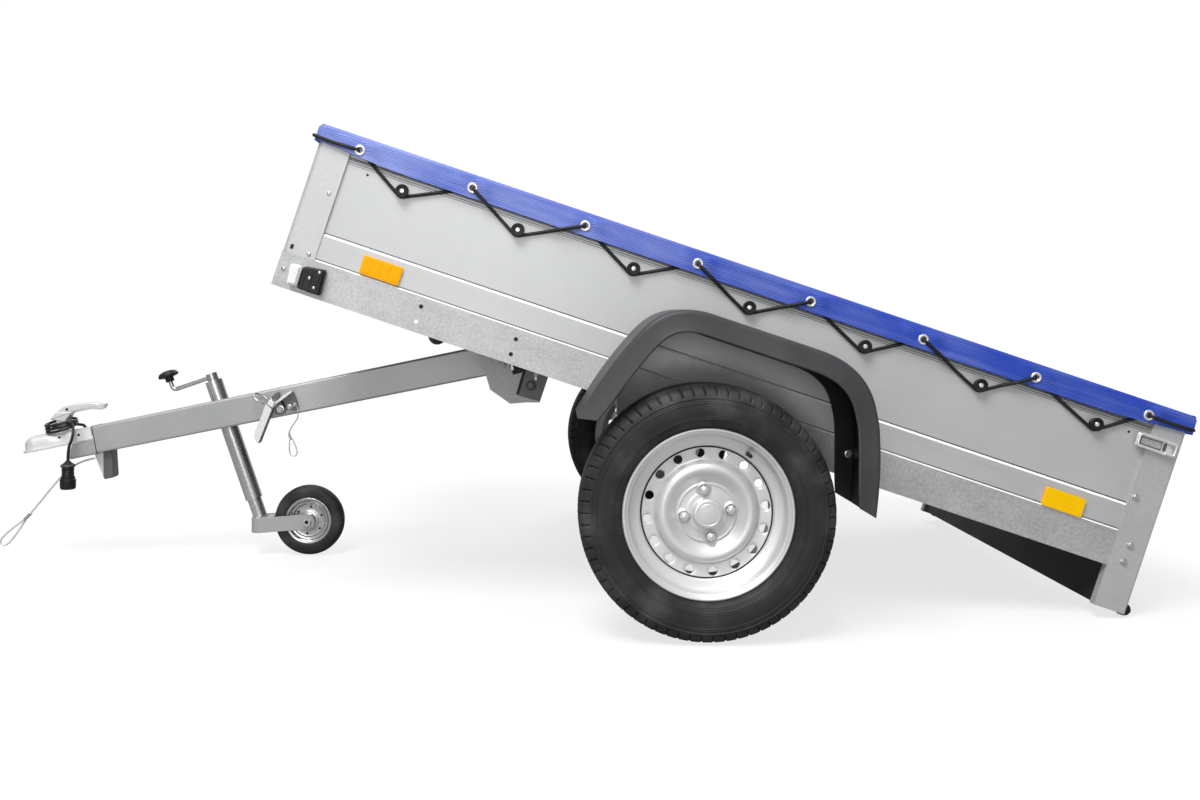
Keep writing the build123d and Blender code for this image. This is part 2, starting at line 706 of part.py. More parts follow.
# Tailgate and its pin hinges
with BuildPart() as tailgate_panel:
    with Locations(((GATE_FRONT + GATE_BACK) / 2, 0, (GATE_BOTTOM + GATE_TOP) / 2)):
        Box(GATE_BACK - GATE_FRONT, 2 * GATE_HALF, GATE_TOP - GATE_BOTTOM)
    with Locations((GATE_BACK, 0, GATE_BOTTOM + 82), (GATE_BACK, 0, GATE_BOTTOM + 192)):
        Box(8, 2 * GATE_HALF - 120, 14, mode=Mode.SUBTRACT)
keep(tailgate_panel, "tailgate_panel", BED)

with BuildPart() as tailgate_hinges:
    for middle in GATE_HINGES:
        with BuildSketch(Plane.XZ.offset(-middle - 30)) as gate_leaf:
            with Locations((GATE_PIN_X, GATE_PIN_Z)):
                Circle(GATE_PIN_RADIUS + 4)
            with Locations((GATE_BACK + 2, GATE_PIN_Z + 32)):
                Rectangle(4, 64)
            with Locations((GATE_PIN_X, GATE_PIN_Z)):
                Circle(GATE_PIN_RADIUS + RUNNING, mode=Mode.SUBTRACT)
        extrude(amount=60)
keep(tailgate_hinges, "tailgate_hinges", BED)

lug_front = REAR_CROSS + CROSS_WIDTH / 2
with BuildPart() as hinge_pins:
    for middle in GATE_HINGES:
        with BuildSketch(Plane.XZ.offset(-middle - 56)) as pin:
            with Locations((GATE_PIN_X, GATE_PIN_Z)):
                Circle(GATE_PIN_RADIUS)
        extrude(amount=112)
        for start in (middle - 56, middle + 36):
            with BuildSketch(Plane.XZ.offset(-start - 20)) as pin_lug:
                with Locations((GATE_PIN_X, GATE_PIN_Z)):
                    Circle(GATE_PIN_RADIUS + 4)
                with Locations(((lug_front + GATE_PIN_X) / 2, GATE_PIN_Z - 12)):
                    Rectangle(GATE_PIN_X - lug_front, 14)
            extrude(amount=20)
keep(hinge_pins, "hinge_pins", BED)

# Drawbar: a tapered square tube, open at both ends
with BuildPart() as drawbar_tube:
    with BuildSketch(Plane.XZ.offset(-BAR_HALF_FRONT)) as bar_side:
        with BuildLine():
            Polyline(
                (BAR_FRONT, -BAR_HALF_FRONT),
                (BAR_TAIL, -BAR_HALF_REAR),
                (BAR_TAIL, BAR_HALF_REAR - 18),
                (BAR_TAIL - 18, BAR_HALF_REAR),
                (BAR_FRONT, BAR_HALF_FRONT),
                close=True,
            )
        make_face()
    extrude(amount=2 * BAR_HALF_FRONT)
    fillet(drawbar_tube.edges().filter_by(lambda e: e.length > 0.9 * (BAR_TAIL - BAR_FRONT)), 6)
    with BuildSketch(Plane.XZ.offset(-BAR_HALF_FRONT + BAR_WALL)) as bar_hollow:
        with BuildLine():
            Polyline(
                (BAR_FRONT - 1, -BAR_HALF_FRONT + BAR_WALL),
                (BAR_TAIL + 1, -BAR_HALF_REAR + BAR_WALL),
                (BAR_TAIL + 1, BAR_HALF_REAR - 22),
                (BAR_TAIL - 20, BAR_HALF_REAR - BAR_WALL),
                (BAR_FRONT - 1, BAR_HALF_FRONT - BAR_WALL),
                close=True,
            )
        make_face()
    extrude(amount=2 * (BAR_HALF_FRONT - BAR_WALL), mode=Mode.SUBTRACT)
    with BuildSketch(Plane.XZ.offset(-BAR_HALF_FRONT - 1)) as bar_eye:
        Circle(PIVOT_BOLT + RUNNING)
    extrude(amount=2 * BAR_HALF_FRONT + 2, mode=Mode.SUBTRACT)
keep(drawbar_tube, "drawbar_tube", BAR)

# Coupling head: a pressed housing with a blind ball socket, on a sleeve over the tube's end
with BuildPart() as coupling_head:
    with BuildSketch(Plane.XY.offset(HEAD_BOTTOM)) as head_plan:
        with Locations((BALL_X, 0)):
            Circle(36)
        with Locations(((BALL_X + SLEEVE_X + 5) / 2, 0)):
            Rectangle(SLEEVE_X + 5 - BALL_X, 62)
    extrude(amount=HEAD_TOP - HEAD_BOTTOM)
    fillet(coupling_head.faces().sort_by(Axis.Z)[-1].edges().filter_by(lambda e: e.center().X < SLEEVE_X), 13)
    with BuildSketch(Plane.XY.offset(HEAD_BOTTOM)) as head_flange:
        with Locations((BALL_X, 0)):
            Circle(HEAD_FLANGE)
        with Locations(((BALL_X + SLEEVE_X) / 2, 0)):
            Rectangle(SLEEVE_X - BALL_X, 74)
    extrude(amount=7)
    with BuildSketch(Plane.XZ.offset(-34)) as sleeve_side:
        with BuildLine():
            Polyline(
                (SLEEVE_X, HEAD_TOP),
                (BAR_FRONT, BAR_HALF_FRONT + 1),
                (BAR_FRONT, -BAR_HALF_FRONT - 1),
                (SLEEVE_X - 8, -BAR_HALF_FRONT - 2),
                (SLEEVE_X + 6, HEAD_BOTTOM),
                close=True,
            )
        make_face()
    extrude(amount=68)
    with Locations((BAR_FRONT + 28, 0, 0)):
        Box(64, 2 * BAR_HALF_FRONT - 12, 2 * BAR_HALF_FRONT - 12)
    with Locations((LUG_X, 0, (HEAD_TOP - 2 + LUG_TOP) / 2)):
        Box(60, 30, LUG_TOP - HEAD_TOP + 2)
    with Locations((EYE_X + 5, EYE_Y, EYE_Z + 5)):
        Box(10, 12, 24)
    with BuildSketch(Plane.XY.offset(HEAD_BOTTOM)) as ball_mouth:
        with Locations((BALL_X, 0)):
            Circle(BALL_RADIUS)
    extrude(amount=BALL_DEPTH, mode=Mode.SUBTRACT)
keep(coupling_head, "coupling_head", BAR)

handle_outline = [
    (-14, 8),
    (-4, 19),
    (12, 27),
    (30, 29),
    (60, 27),
    (92, 23),
    (115, 15),
    (129, 17),
    (127, 5),
    (113, -3),
    (96, 5),
    (60, 6),
    (24, 6),
]
with BuildPart() as coupling_handle:
    with BuildSketch(Plane.XZ.offset(-14)) as handle_side:
        with BuildLine():
            Spline(*[(LUG_X + along, LUG_TOP + up) for along, up in handle_outline], periodic=True)
        make_face()
    extrude(amount=28)
    with Locations((LUG_X + 2, 0, LUG_TOP + 6)):
        Box(40, 28, 12)
keep(coupling_handle, "coupling_handle", BAR)

# Small foot under the front of the drawbar
bar_taper = (BAR_HALF_REAR - BAR_HALF_FRONT) / (BAR_TAIL - BAR_FRONT)
FOOT_X = BAR_FRONT + 25
FOOT_DROP = 76
with BuildPart() as drawbar_foot:
    with BuildSketch(Plane.XZ.offset(-20)) as foot_side:
        with BuildLine():
            Polyline(
                (FOOT_X - 24, -BAR_HALF_FRONT - bar_taper),
                (FOOT_X + 24, -BAR_HALF_FRONT - bar_taper * 49),
                (FOOT_X + 14, -BAR_HALF_FRONT - FOOT_DROP + 4),
                (FOOT_X + 10, -BAR_HALF_FRONT - FOOT_DROP),
                (FOOT_X - 15, -BAR_HALF_FRONT - FOOT_DROP),
                (FOOT_X - 20, -BAR_HALF_FRONT - FOOT_DROP + 6),
                close=True,
            )
        make_face()
    extrude(amount=40)
keep(drawbar_foot, "drawbar_foot", BAR)

# Tipping lock on the drawbar's near side: two ears, a cross pin and a flat lever
with BuildPart() as tip_lock:
    for ear_x in (LOCK_X - 30.5, LOCK_X + 30.5):
        with Locations((ear_x, -BAR_HALF_FRONT - 14, -6)):
            Box(5, 28, 60)
    with Locations((LOCK_X, -BAR_HALF_FRONT - 2, -6)):
        Box(70, 4, 60)
    with BuildSketch(Plane.YZ.offset(LOCK_X - 33)) as cross_pin:
        with Locations((-BAR_HALF_FRONT - 17, 6)):
            Circle(6)
    extrude(amount=77)
keep(tip_lock, "tip_lock", BAR)

LEVER_LENGTH = 118
LEVER_WIDTH = 16
LEVER_LEAN = math.degrees(math.atan2(87, 52))
with BuildPart() as tip_lock_lever:
    with BuildSketch(Plane.XZ.offset(BAR_HALF_FRONT + 30)) as lever_face:
        with Locations((LOCK_X - 58, -43)):
            SlotOverall(LEVER_LENGTH, LEVER_WIDTH, rotation=LEVER_LEAN)
    extrude(amount=6)
    with Locations((LOCK_X - 44, -BAR_HALF_FRONT - 19, 6)):
        Box(22, 22, 20)
keep(tip_lock_lever, "tip_lock_lever", BAR)

# Wire lanyard hanging from the lock, with a loop in its end
WIRE_RADIUS = 1.5
wire_route = [
    (34.6, -16, -18),
    (36, -17, -36),
    (31, -18, -52),
    (19, -19, -64),
    (6, -20, -76),
    (-2, -20, -90),
    (-1, -21, -107),
    (-6, -22, -122),
    (-8.5, -22, -136),
    (-7, -22, -148),
    (2, -22, -154),
    (11, -21, -148),
    (12, -20, -136),
    (9, -18, -120),
    (4, -16, -103),
]
wire_points = [(LOCK_X + along, across - BAR_HALF_FRONT, up) for along, across, up in wire_route]
wire_radii = bend_radii(wire_points)
print("wire bends", [round(radius, 1) for radius in wire_radii])
with BuildPart() as lock_lanyard:
    with BuildLine() as wire_line:
        FilletPolyline(*wire_points, radius=wire_radii)
    with BuildSketch(Plane(wire_line.line @ 0, z_dir=wire_line.line % 0)) as wire_section:
        Circle(WIRE_RADIUS)
    sweep(path=wire_line.line)
keep(lock_lanyard, "lock_lanyard", BAR)

# Jockey clamp: a split ring round the leg's tube, on a plate bolted to the drawbar's far side
with BuildPart() as jockey_clamp:
    with BuildSketch(Plane.XY.offset(-30)) as clamp_plan:
        Circle(OUTER_RADIUS + 6)
        with Locations((0, (BAR_HALF_FRONT - JOCKEY_Y - OUTER_RADIUS) / 2)):
            Rectangle(44, JOCKEY_Y - BAR_HALF_FRONT - OUTER_RADIUS)
        Circle(OUTER_RADIUS + SLIDE_GAP, mode=Mode.SUBTRACT)
    extrude(amount=60)
    with Locations((0, BAR_HALF_FRONT - JOCKEY_Y + 3, 0)):
        Box(90, 6, 64)
    with BuildSketch(Plane.XY.offset(-6)) as clamp_handle:
        with Locations((0, OUTER_RADIUS + 30)):
            Rectangle(16, 50)
    extrude(amount=12)
keep(jockey_clamp, "jockey_clamp", JOCKEY)

# Jockey leg: outer tube, inner tube, trailing fork and wheel
with BuildPart() as jockey_outer_tube:
    with BuildSketch(Plane.XY.offset(OUTER_BOTTOM)) as outer_ring:
        Circle(OUTER_RADIUS)
        Circle(INNER_RADIUS + SLIDE_GAP, mode=Mode.SUBTRACT)
    extrude(amount=OUTER_TOP - OUTER_BOTTOM)
    with BuildSketch(Plane.XY.offset(OUTER_TOP)) as cap_section:
        Circle(OUTER_RADIUS)
    extrude(amount=CAP_THICKNESS)
keep(jockey_outer_tube, "jockey_outer_tube", JOCKEY)

CRANK_FOOT = OUTER_TOP + CAP_THICKNESS
CRANK_BOSS = 15.5
CRANK_REACH = 118
CRANK_RISE = 26
ARM_Z = CRANK_FOOT + 12
with BuildPart() as jockey_crank:
    with BuildSketch(Plane.XY.offset(CRANK_FOOT)) as crank_boss:
        Circle(CRANK_BOSS)
    extrude(amount=22)
    with BuildLine(Plane.XZ) as crank_route:
        FilletPolyline((0, ARM_Z), (-CRANK_REACH, ARM_Z), (-CRANK_REACH, ARM_Z + CRANK_RISE), radius=12)
    with BuildSketch(Plane(crank_route.line @ 0, z_dir=crank_route.line % 0)) as crank_section:
        Circle(6)
    sweep(path=crank_route.line)
keep(jockey_crank, "jockey_crank", JOCKEY)

with BuildPart() as jockey_knob:
    with BuildSketch(Plane.XZ) as knob_half:
        with BuildLine():
            Polyline((0, 0), (12, 0), (12, 12), (27, 15), (29, 20), (24, 28), (12, 32), (0, 33), close=True)
        make_face()
    revolve(axis=Axis.Z)
keep(jockey_knob, "jockey_knob", JOCKEY * Location((-CRANK_REACH, 0, ARM_Z + CRANK_RISE)))

FORK_TOP = FORK_Z + 20
with BuildPart() as jockey_inner_tube:
    with BuildSketch(Plane.XY.offset(FORK_Z - 14)) as spigot_section:
        Circle(12)
    extrude(amount=FORK_TOP + 1 - FORK_Z + 14)
    with BuildSketch(Plane.XY.offset(FORK_TOP + 1)) as inner_section:
        Circle(INNER_RADIUS)
    extrude(amount=-60 - FORK_TOP - 1)
    with BuildSketch(Plane.XY.offset(FORK_Z - 20)) as keeper_section:
        Circle(17)
    extrude(amount=6)
keep(jockey_inner_tube, "jockey_inner_tube", JOCKEY)

# Fork: a socket turning on the inner tube's spigot, and two arms trailing to the wheel's axle
arm_gap = JOCKEY_HALF + 7
with BuildPart() as jockey_fork:
    with BuildSketch(Plane.XY.offset(FORK_Z - 13)) as socket_plan:
        Circle(22)
        with Locations((14, 0)):
            Rectangle(28, 2 * arm_gap + 2 * FORK_PLATE)
        Circle(12 + RUNNING, mode=Mode.SUBTRACT)
    extrude(amount=FORK_TOP - FORK_Z + 13)
    with BuildSketch(Plane.XZ.offset(-arm_gap - FORK_PLATE)) as arm_side:
        with BuildLine():
            Polyline(
                (4, FORK_TOP),
                (34, FORK_TOP),
                (FORK_TRAIL + 20, WHEEL_DROP + 10),
                (FORK_TRAIL + 20, WHEEL_DROP - 12),
                (FORK_TRAIL + 10, WHEEL_DROP - 18),
                (FORK_TRAIL - 12, WHEEL_DROP - 16),
                (24, FORK_Z - 13),
                (4, FORK_Z - 13),
                close=True,
            )
        make_face()
        with Locations((FORK_TRAIL, WHEEL_DROP)):
            Circle(8, mode=Mode.SUBTRACT)
    extrude(amount=FORK_PLATE)
    mirror(about=Plane.XZ)
keep(jockey_fork, "jockey_fork", JOCKEY)

with BuildPart() as jockey_axle:
    with BuildSketch(Plane.XZ.offset(-arm_gap - FORK_PLATE)) as axle_section:
        with Locations((FORK_TRAIL, WHEEL_DROP)):
            Circle(8)
    extrude(amount=2 * (arm_gap + FORK_PLATE))
    for start in (arm_gap + FORK_PLATE, -arm_gap - FORK_PLATE - 7):
        with BuildSketch(Plane.XZ.offset(start)) as axle_head:
            with Locations((FORK_TRAIL, WHEEL_DROP)):
                RegularPolygon(12, 6)
        extrude(amount=7)
keep(jockey_axle, "jockey_axle", JOCKEY)

jockey_section = Plane(origin=(FORK_TRAIL, 0, WHEEL_DROP), x_dir=(0, 0, 1), z_dir=(1, 0, 0))
jockey_spin = Axis((FORK_TRAIL, 0, WHEEL_DROP), (0, 1, 0))
with BuildPart() as jockey_tyre:
    with BuildSketch(jockey_section) as tyre_ring:
        with BuildLine():
            Polyline(
                (63, -22),
                (80, -JOCKEY_HALF),
                (92, -22),
                (98, -14),
                (JOCKEY_RADIUS, 0),
                (98, 14),
                (92, 22),
                (80, JOCKEY_HALF),
                (63, 22),
                close=True,
            )
        make_face()
    revolve(axis=jockey_spin)
keep(jockey_tyre, "jockey_tyre", JOCKEY)

with BuildPart() as jockey_rim:
    with BuildSketch(jockey_section) as rim_ring:
        with BuildLine():
            Polyline(
                (8 + RUNNING, -28),
                (18, -28),
                (20, -12),
                (52, -10),
                (57, -22),
                (66, -23),
                (63, -22),
                (63, 22),
                (66, 23),
                (57, 22),
                (52, 10),
                (20, 12),
                (18, 28),
                (8 + RUNNING, 28),
                close=True,
            )
        make_face()
    revolve(axis=jockey_spin)
keep(jockey_rim, "jockey_rim", JOCKEY)

# Electric lead: wound round the coupling's lug, then down to its hanging plug
LEAD_RADIUS = 4
with BuildPart() as lead_coil:
    with BuildSketch(Plane.XY.offset(HEAD_TOP)) as coil_plan:
        with Locations((LUG_X, 0)):
            RectangleRounded(94, 64, 24)
            RectangleRounded(64, 34, 1, mode=Mode.SUBTRACT)
    extrude(amount=26)
keep(lead_coil, "lead_coil", BAR)

# Its route, from the lug's middle at the drawbar's axis, the last run hanging straight down
LEAD_END = (18, -62, -41)
hang = turned(0, 34, -BAR_TILT)
lead_route = [
    (36, -32, 58),
    (45, -50, 42),
    (42, -61, 17),
    (LEAD_END[0] + hang[0], LEAD_END[1], LEAD_END[2] + hang[1]),
    LEAD_END,
]
lead_points = [(LUG_X + along, across, up) for along, across, up in lead_route]
PLUG_TOP = lead_points[-1]
lead_radii = bend_radii(lead_points)
print("lead bends", [round(radius, 1) for radius in lead_radii])
with BuildPart() as lead_drop:
    with BuildLine() as lead_line:
        FilletPolyline(*lead_points, radius=lead_radii)
    with BuildSketch(Plane(lead_line.line @ 0, z_dir=lead_line.line % 0)) as lead_section:
        Circle(LEAD_RADIUS)
    sweep(path=lead_line.line)
keep(lead_drop, "lead_drop", BAR)

with BuildPart() as lead_plug:
    with BuildSketch(Plane.XZ) as plug_half:
        with BuildLine():
            Polyline((0, 0), (8, 0), (12, -14), (17, -22), (17, -48), (20, -50), (20, -78), (0, -78), close=True)
        make_face()
    revolve(axis=Axis.Z)
plug_place = turned(PLUG_TOP[0], PLUG_TOP[2], BAR_TILT)
keep(
    lead_plug,
    "lead_plug",
    Location((pivot_world[0] + plug_place[0], PLUG_TOP[1], pivot_world[1] + plug_place[1])),
)

# Safety cable: from an eye under the coupling's sleeve, forward and down to a loop in its end
CABLE_RADIUS = 2.5
cable_route = [
    (0, 0, 0),
    (-30, 0, 0),
    (-64, -2, -9),
    (-98, -5, -30),
    (-132, -8, -57),
    (-166, -9, -86),
    (-196, -9, -110),
    (-224, -10, -129),
    (-250, -12, -141),
    (-276, -13, -155),
    (-298, -13, -170),
    (-297, -12, -183),
    (-284, -10, -188),
    (-266, -8, -175),
    (-247, -6, -157),
    (-231, -4, -140),
    (-214, -3, -122),
]
cable_points = [(EYE_X + along, EYE_Y + across, EYE_Z + up) for along, across, up in cable_route]
cable_radii = bend_radii(cable_points)
print("cable bends", [round(radius, 1) for radius in cable_radii])
with BuildPart() as safety_cable:
    with BuildLine() as cable_line:
        FilletPolyline(*cable_points, radius=cable_radii)
    with BuildSketch(Plane(cable_line.line @ 0, z_dir=cable_line.line % 0)) as cable_section:
        Circle(CABLE_RADIUS)
    sweep(path=cable_line.line)
keep(safety_cable, "safety_cable", BAR)

# Numbers the record states, in metres and degrees
print("bed tilt", BED_TILT, "tip", BED_TILT - BAR_TILT)
print("pivot", pivot_world, "axle", axle_world_x, "bed", bed_world, "jockey", jockey_world, jockey_tilt)
print("wheel drop", WHEEL_DROP, "fork top gap", OUTER_BOTTOM - FORK_TOP)
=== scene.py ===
"""Looks of the tipping trailer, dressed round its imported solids.

Shapes are worked out in millimetres in three working frames, each with x back, y right and z up:
the bed, the drawbar and the jockey leg. A frame's place turns them into row-frame metres.
"""

import json
import math

import bmesh
import bpy
import numpy as np
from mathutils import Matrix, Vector


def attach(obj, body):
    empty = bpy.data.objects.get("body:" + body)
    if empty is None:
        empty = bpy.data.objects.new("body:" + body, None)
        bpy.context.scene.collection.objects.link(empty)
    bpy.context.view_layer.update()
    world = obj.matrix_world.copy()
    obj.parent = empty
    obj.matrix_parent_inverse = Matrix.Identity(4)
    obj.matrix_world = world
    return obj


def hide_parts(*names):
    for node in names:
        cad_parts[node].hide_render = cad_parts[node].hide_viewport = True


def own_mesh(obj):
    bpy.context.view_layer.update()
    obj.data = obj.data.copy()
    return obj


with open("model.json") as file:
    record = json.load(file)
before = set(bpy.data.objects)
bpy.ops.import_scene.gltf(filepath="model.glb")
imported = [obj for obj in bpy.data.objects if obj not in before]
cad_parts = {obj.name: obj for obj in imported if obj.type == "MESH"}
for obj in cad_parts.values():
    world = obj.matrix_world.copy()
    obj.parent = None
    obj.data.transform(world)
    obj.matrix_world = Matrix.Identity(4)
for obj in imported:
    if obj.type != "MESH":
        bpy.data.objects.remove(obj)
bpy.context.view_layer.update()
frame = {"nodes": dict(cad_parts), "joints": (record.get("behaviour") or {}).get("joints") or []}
joints = {joint["name"]: joint for joint in frame["joints"]}
MM = 0.001
SIDES = (-1, 1)
ORIGIN = (0, 0, 0)

# Sizes shared with the solids, in millimetres
BED_LENGTH = 2082
HALF_WIDTH = 592.5
SILL_HEIGHT = 82
BAND_TOP = 142
POST_WIDTH = 77
WALL_TOP = 378
BAND_FACE = HALF_WIDTH - 2.5
PANEL_FACE = HALF_WIDTH - 6.5
PIVOT = (499, 0, -43)
HINGE_FACE = 46
AXLE = (1073, 0, -155)
WHEEL_PLANE = HALF_WIDTH + 137.5
TYRE_RADIUS = 273.5
TYRE_HALF = 78
FENDER_X = AXLE[0] + 4
FENDER_TOP = AXLE[2] + 402
FENDER_BOTTOM = AXLE[2] + 101
FENDER_HALF = 331
FENDER_LEAN = math.radians(17)
FENDER_FACE = WHEEL_PLANE + 72
FENDER_BAND = 48
FENDER_SKIN = 4
BAR_FRONT = -1118
BAR_HALF = 38
BALL_X = BAR_FRONT - 166
SLEEVE_X = BAR_FRONT - 62
LUG_X = BAR_FRONT - 85
HEAD_BOTTOM = 1
HEAD_TOP = 44
LUG_TOP = HEAD_TOP + 36
FOOT_X = BAR_FRONT + 25
LOCK_X = -574
EYE = (BAR_FRONT - 11, -20, -51)
JOCKEY_RADIUS = 100
JOCKEY_HALF = 25
AXLE_END = 47
COVER_TOP = WALL_TOP + 6
COVER_HALF = HALF_WIDTH + 6
COVER_FRONT = -12
COVER_BACK = BED_LENGTH + 9
FLAP_X = COVER_BACK + 2
SKIRT = 54
HEM = COVER_TOP - SKIRT
EYELETS = 8
EYELET_FIRST = 96
EYELET_PITCH = (BED_LENGTH - EYELET_FIRST - 98) / (EYELETS - 1)
EYELET_Z = COVER_TOP - 32
KNOBS = 7
KNOB_FIRST = 216
KNOB_PITCH = (BED_LENGTH - KNOB_FIRST - 203) / (KNOBS - 1)
KNOB_Z = HEM - 35
KNOB_RADIUS = 15.5
KNOB_GROOVE = 9
CORD_RADIUS = 4
FRONT_LACING = ((-500, -380, -250), (-250, 0, 250), (250, 380, 500))
END_EYELETS = (-500, -250, 0, 250, 500)


class WorkFrame:
    """A frame turned by tilt about +y: x' = x cos + z sin, z' = z cos - x sin, then moved to its origin."""

    def __init__(self, origin, tilt):
        self.origin = np.array(origin, float)
        self.tilt = tilt

    def turn(self, points):
        points = np.asarray(points, float)
        x, y, z = points[..., 0], points[..., 1], points[..., 2]
        cos, sin = math.cos(self.tilt), math.sin(self.tilt)
        return np.stack([x * cos + z * sin, y, z * cos - x * sin], -1)

    def __call__(self, points):
        return self.origin + self.turn(points) * MM


def slope(vector):
    """A vector's angle above +x in the side view."""
    return math.atan2(vector[2], vector[0])


def at(name):
    """A joint's place at rest, in row-frame metres."""
    return np.array(joints[name]["pos_m"], float)


# Each frame's tilt is read from where the joints have come to
pivot_place = at("bed_tip")
axle_place = at("wheel_left_spin")
swivel_place = at("jockey_swivel")
bed_tilt = slope(np.subtract(AXLE, PIVOT)) - slope(axle_place - pivot_place)
bar_tilt = (math.pi - slope(swivel_place - pivot_place) + math.pi) % (2 * math.pi) - math.pi
jockey_axis = joints["jockey_swivel"]["axis"]
jockey_tilt = math.atan2(jockey_axis[0], jockey_axis[2])
bed = WorkFrame(pivot_place, bed_tilt)
bed.origin = pivot_place - bed.turn(PIVOT) * MM
bar = WorkFrame(pivot_place, bar_tilt)
jockey = WorkFrame(swivel_place, jockey_tilt)
jockey_axle = at("jockey_spin")


def wheel_frame(name):
    """A road wheel's own frame: upright, with its origin in the wheel's middle plane on the axle."""
    return WorkFrame(at(f"wheel_{name}_spin"), 0)


# Outlines and paths


def arc(centre, radius, start, stop, count=12):
    """Points of a circle between two angles in degrees."""
    angle = np.radians(np.linspace(start, stop, count))
    return np.stack([centre[0] + radius * np.cos(angle), centre[1] + radius * np.sin(angle)], -1)


def rounded(corners, reach, steps=6, closed=False):
    """A polyline, each corner swapped for the curve (1-t)^2 a + 2t(1-t) corner + t^2 b, a and b at reach."""
    corners = np.asarray(corners, float)
    before = np.roll(corners, 1, 0)
    after = np.roll(corners, -1, 0)
    reach = np.broadcast_to(np.asarray(reach, float), len(corners))[:, None]

    def towards(other):
        run = other - corners
        length = np.linalg.norm(run, axis=1, keepdims=True)
        return corners + run * np.minimum(reach / np.maximum(length, 1e-9), 0.49)

    t = np.linspace(0, 1, steps)[None, :, None]
    bends = (1 - t) ** 2 * towards(before)[:, None] + 2 * t * (1 - t) * corners[:, None]
    bends = bends + t**2 * towards(after)[:, None]
    if closed:
        return bends.reshape(-1, corners.shape[1])
    inner = bends[1:-1].reshape(-1, corners.shape[1])
    return np.concatenate([corners[:1], inner, corners[-1:]])


def resampled(path, count):
    """The path's points spread evenly along its length."""
    path = np.asarray(path, float)
    steps = np.linalg.norm(np.diff(path, axis=0), axis=1)
    along = np.concatenate([[0], np.cumsum(steps)])
    wanted = np.linspace(0, along[-1], count)
    return np.stack([np.interp(wanted, along, path[:, axis]) for axis in range(path.shape[1])], -1)


def smooth(points, count):
    """A curve through the points: cubic in each run, with slopes from the points either side."""
    points = np.asarray(points, float)
    padded = np.concatenate([2 * points[:1] - points[1:2], points, 2 * points[-1:] - points[-2:-1]])
    place = np.linspace(0, len(points) - 1, count)
    run = np.minimum(place.astype(int), len(points) - 2)
    t = (place - run)[:, None]
    a, b, c, d = (padded[run + shift] for shift in range(4))
    return b + 0.5 * t * (c - a + t * (2 * a - 5 * b + 4 * c - d + t * (3 * (b - c) + d - a)))


def inset(outline, amount):
    """A closed outline moved inwards along the mitred normals of its edges."""
    ahead = unit(np.roll(outline, -1, 0) - outline)
    normal = np.stack([-ahead[:, 1], ahead[:, 0]], -1)
    both = normal + np.roll(normal, 1, 0)
    both = both / np.maximum((both**2).sum(1, keepdims=True) / 2, 0.4)
    cross = outline[:, 0] * np.roll(outline[:, 1], -1) - np.roll(outline[:, 0], -1) * outline[:, 1]
    return outline + both * amount * np.sign(cross.sum())


def hexagon(radius, turn=0.0):
    """A hexagon's corners, the first at a turn in degrees."""
    return arc((0, 0), radius, turn, turn + 300, 6)


def bell(value, width):
    """A rounded bump: exp(-(value / width)^2)."""
    return np.exp(-((value / width) ** 2))


def spots(x, y, z):
    """Points from x, y and z, each a number or an array, spread to one shape."""
    return np.stack(np.broadcast_arrays(x, y, z), -1)


def around(radius, out, angle):
    """Points round the y axis: (r cos a, out, r sin a)."""
    return spots(radius * np.cos(angle), out, radius * np.sin(angle))


def unit(rows):
    """Each row scaled to a length of 1."""
    return rows / np.maximum(np.linalg.norm(rows, axis=1, keepdims=True), 1e-9)


def heading(line):
    """The direction at each point of a line."""
    return unit(np.gradient(line, axis=0))


AXES = {
    "x": ((0, 1, 0), (0, 0, 1), (1, 0, 0)),
    "y": ((1, 0, 0), (0, 0, 1), (0, 1, 0)),
    "z": ((1, 0, 0), (0, 1, 0), (0, 0, 1)),
}


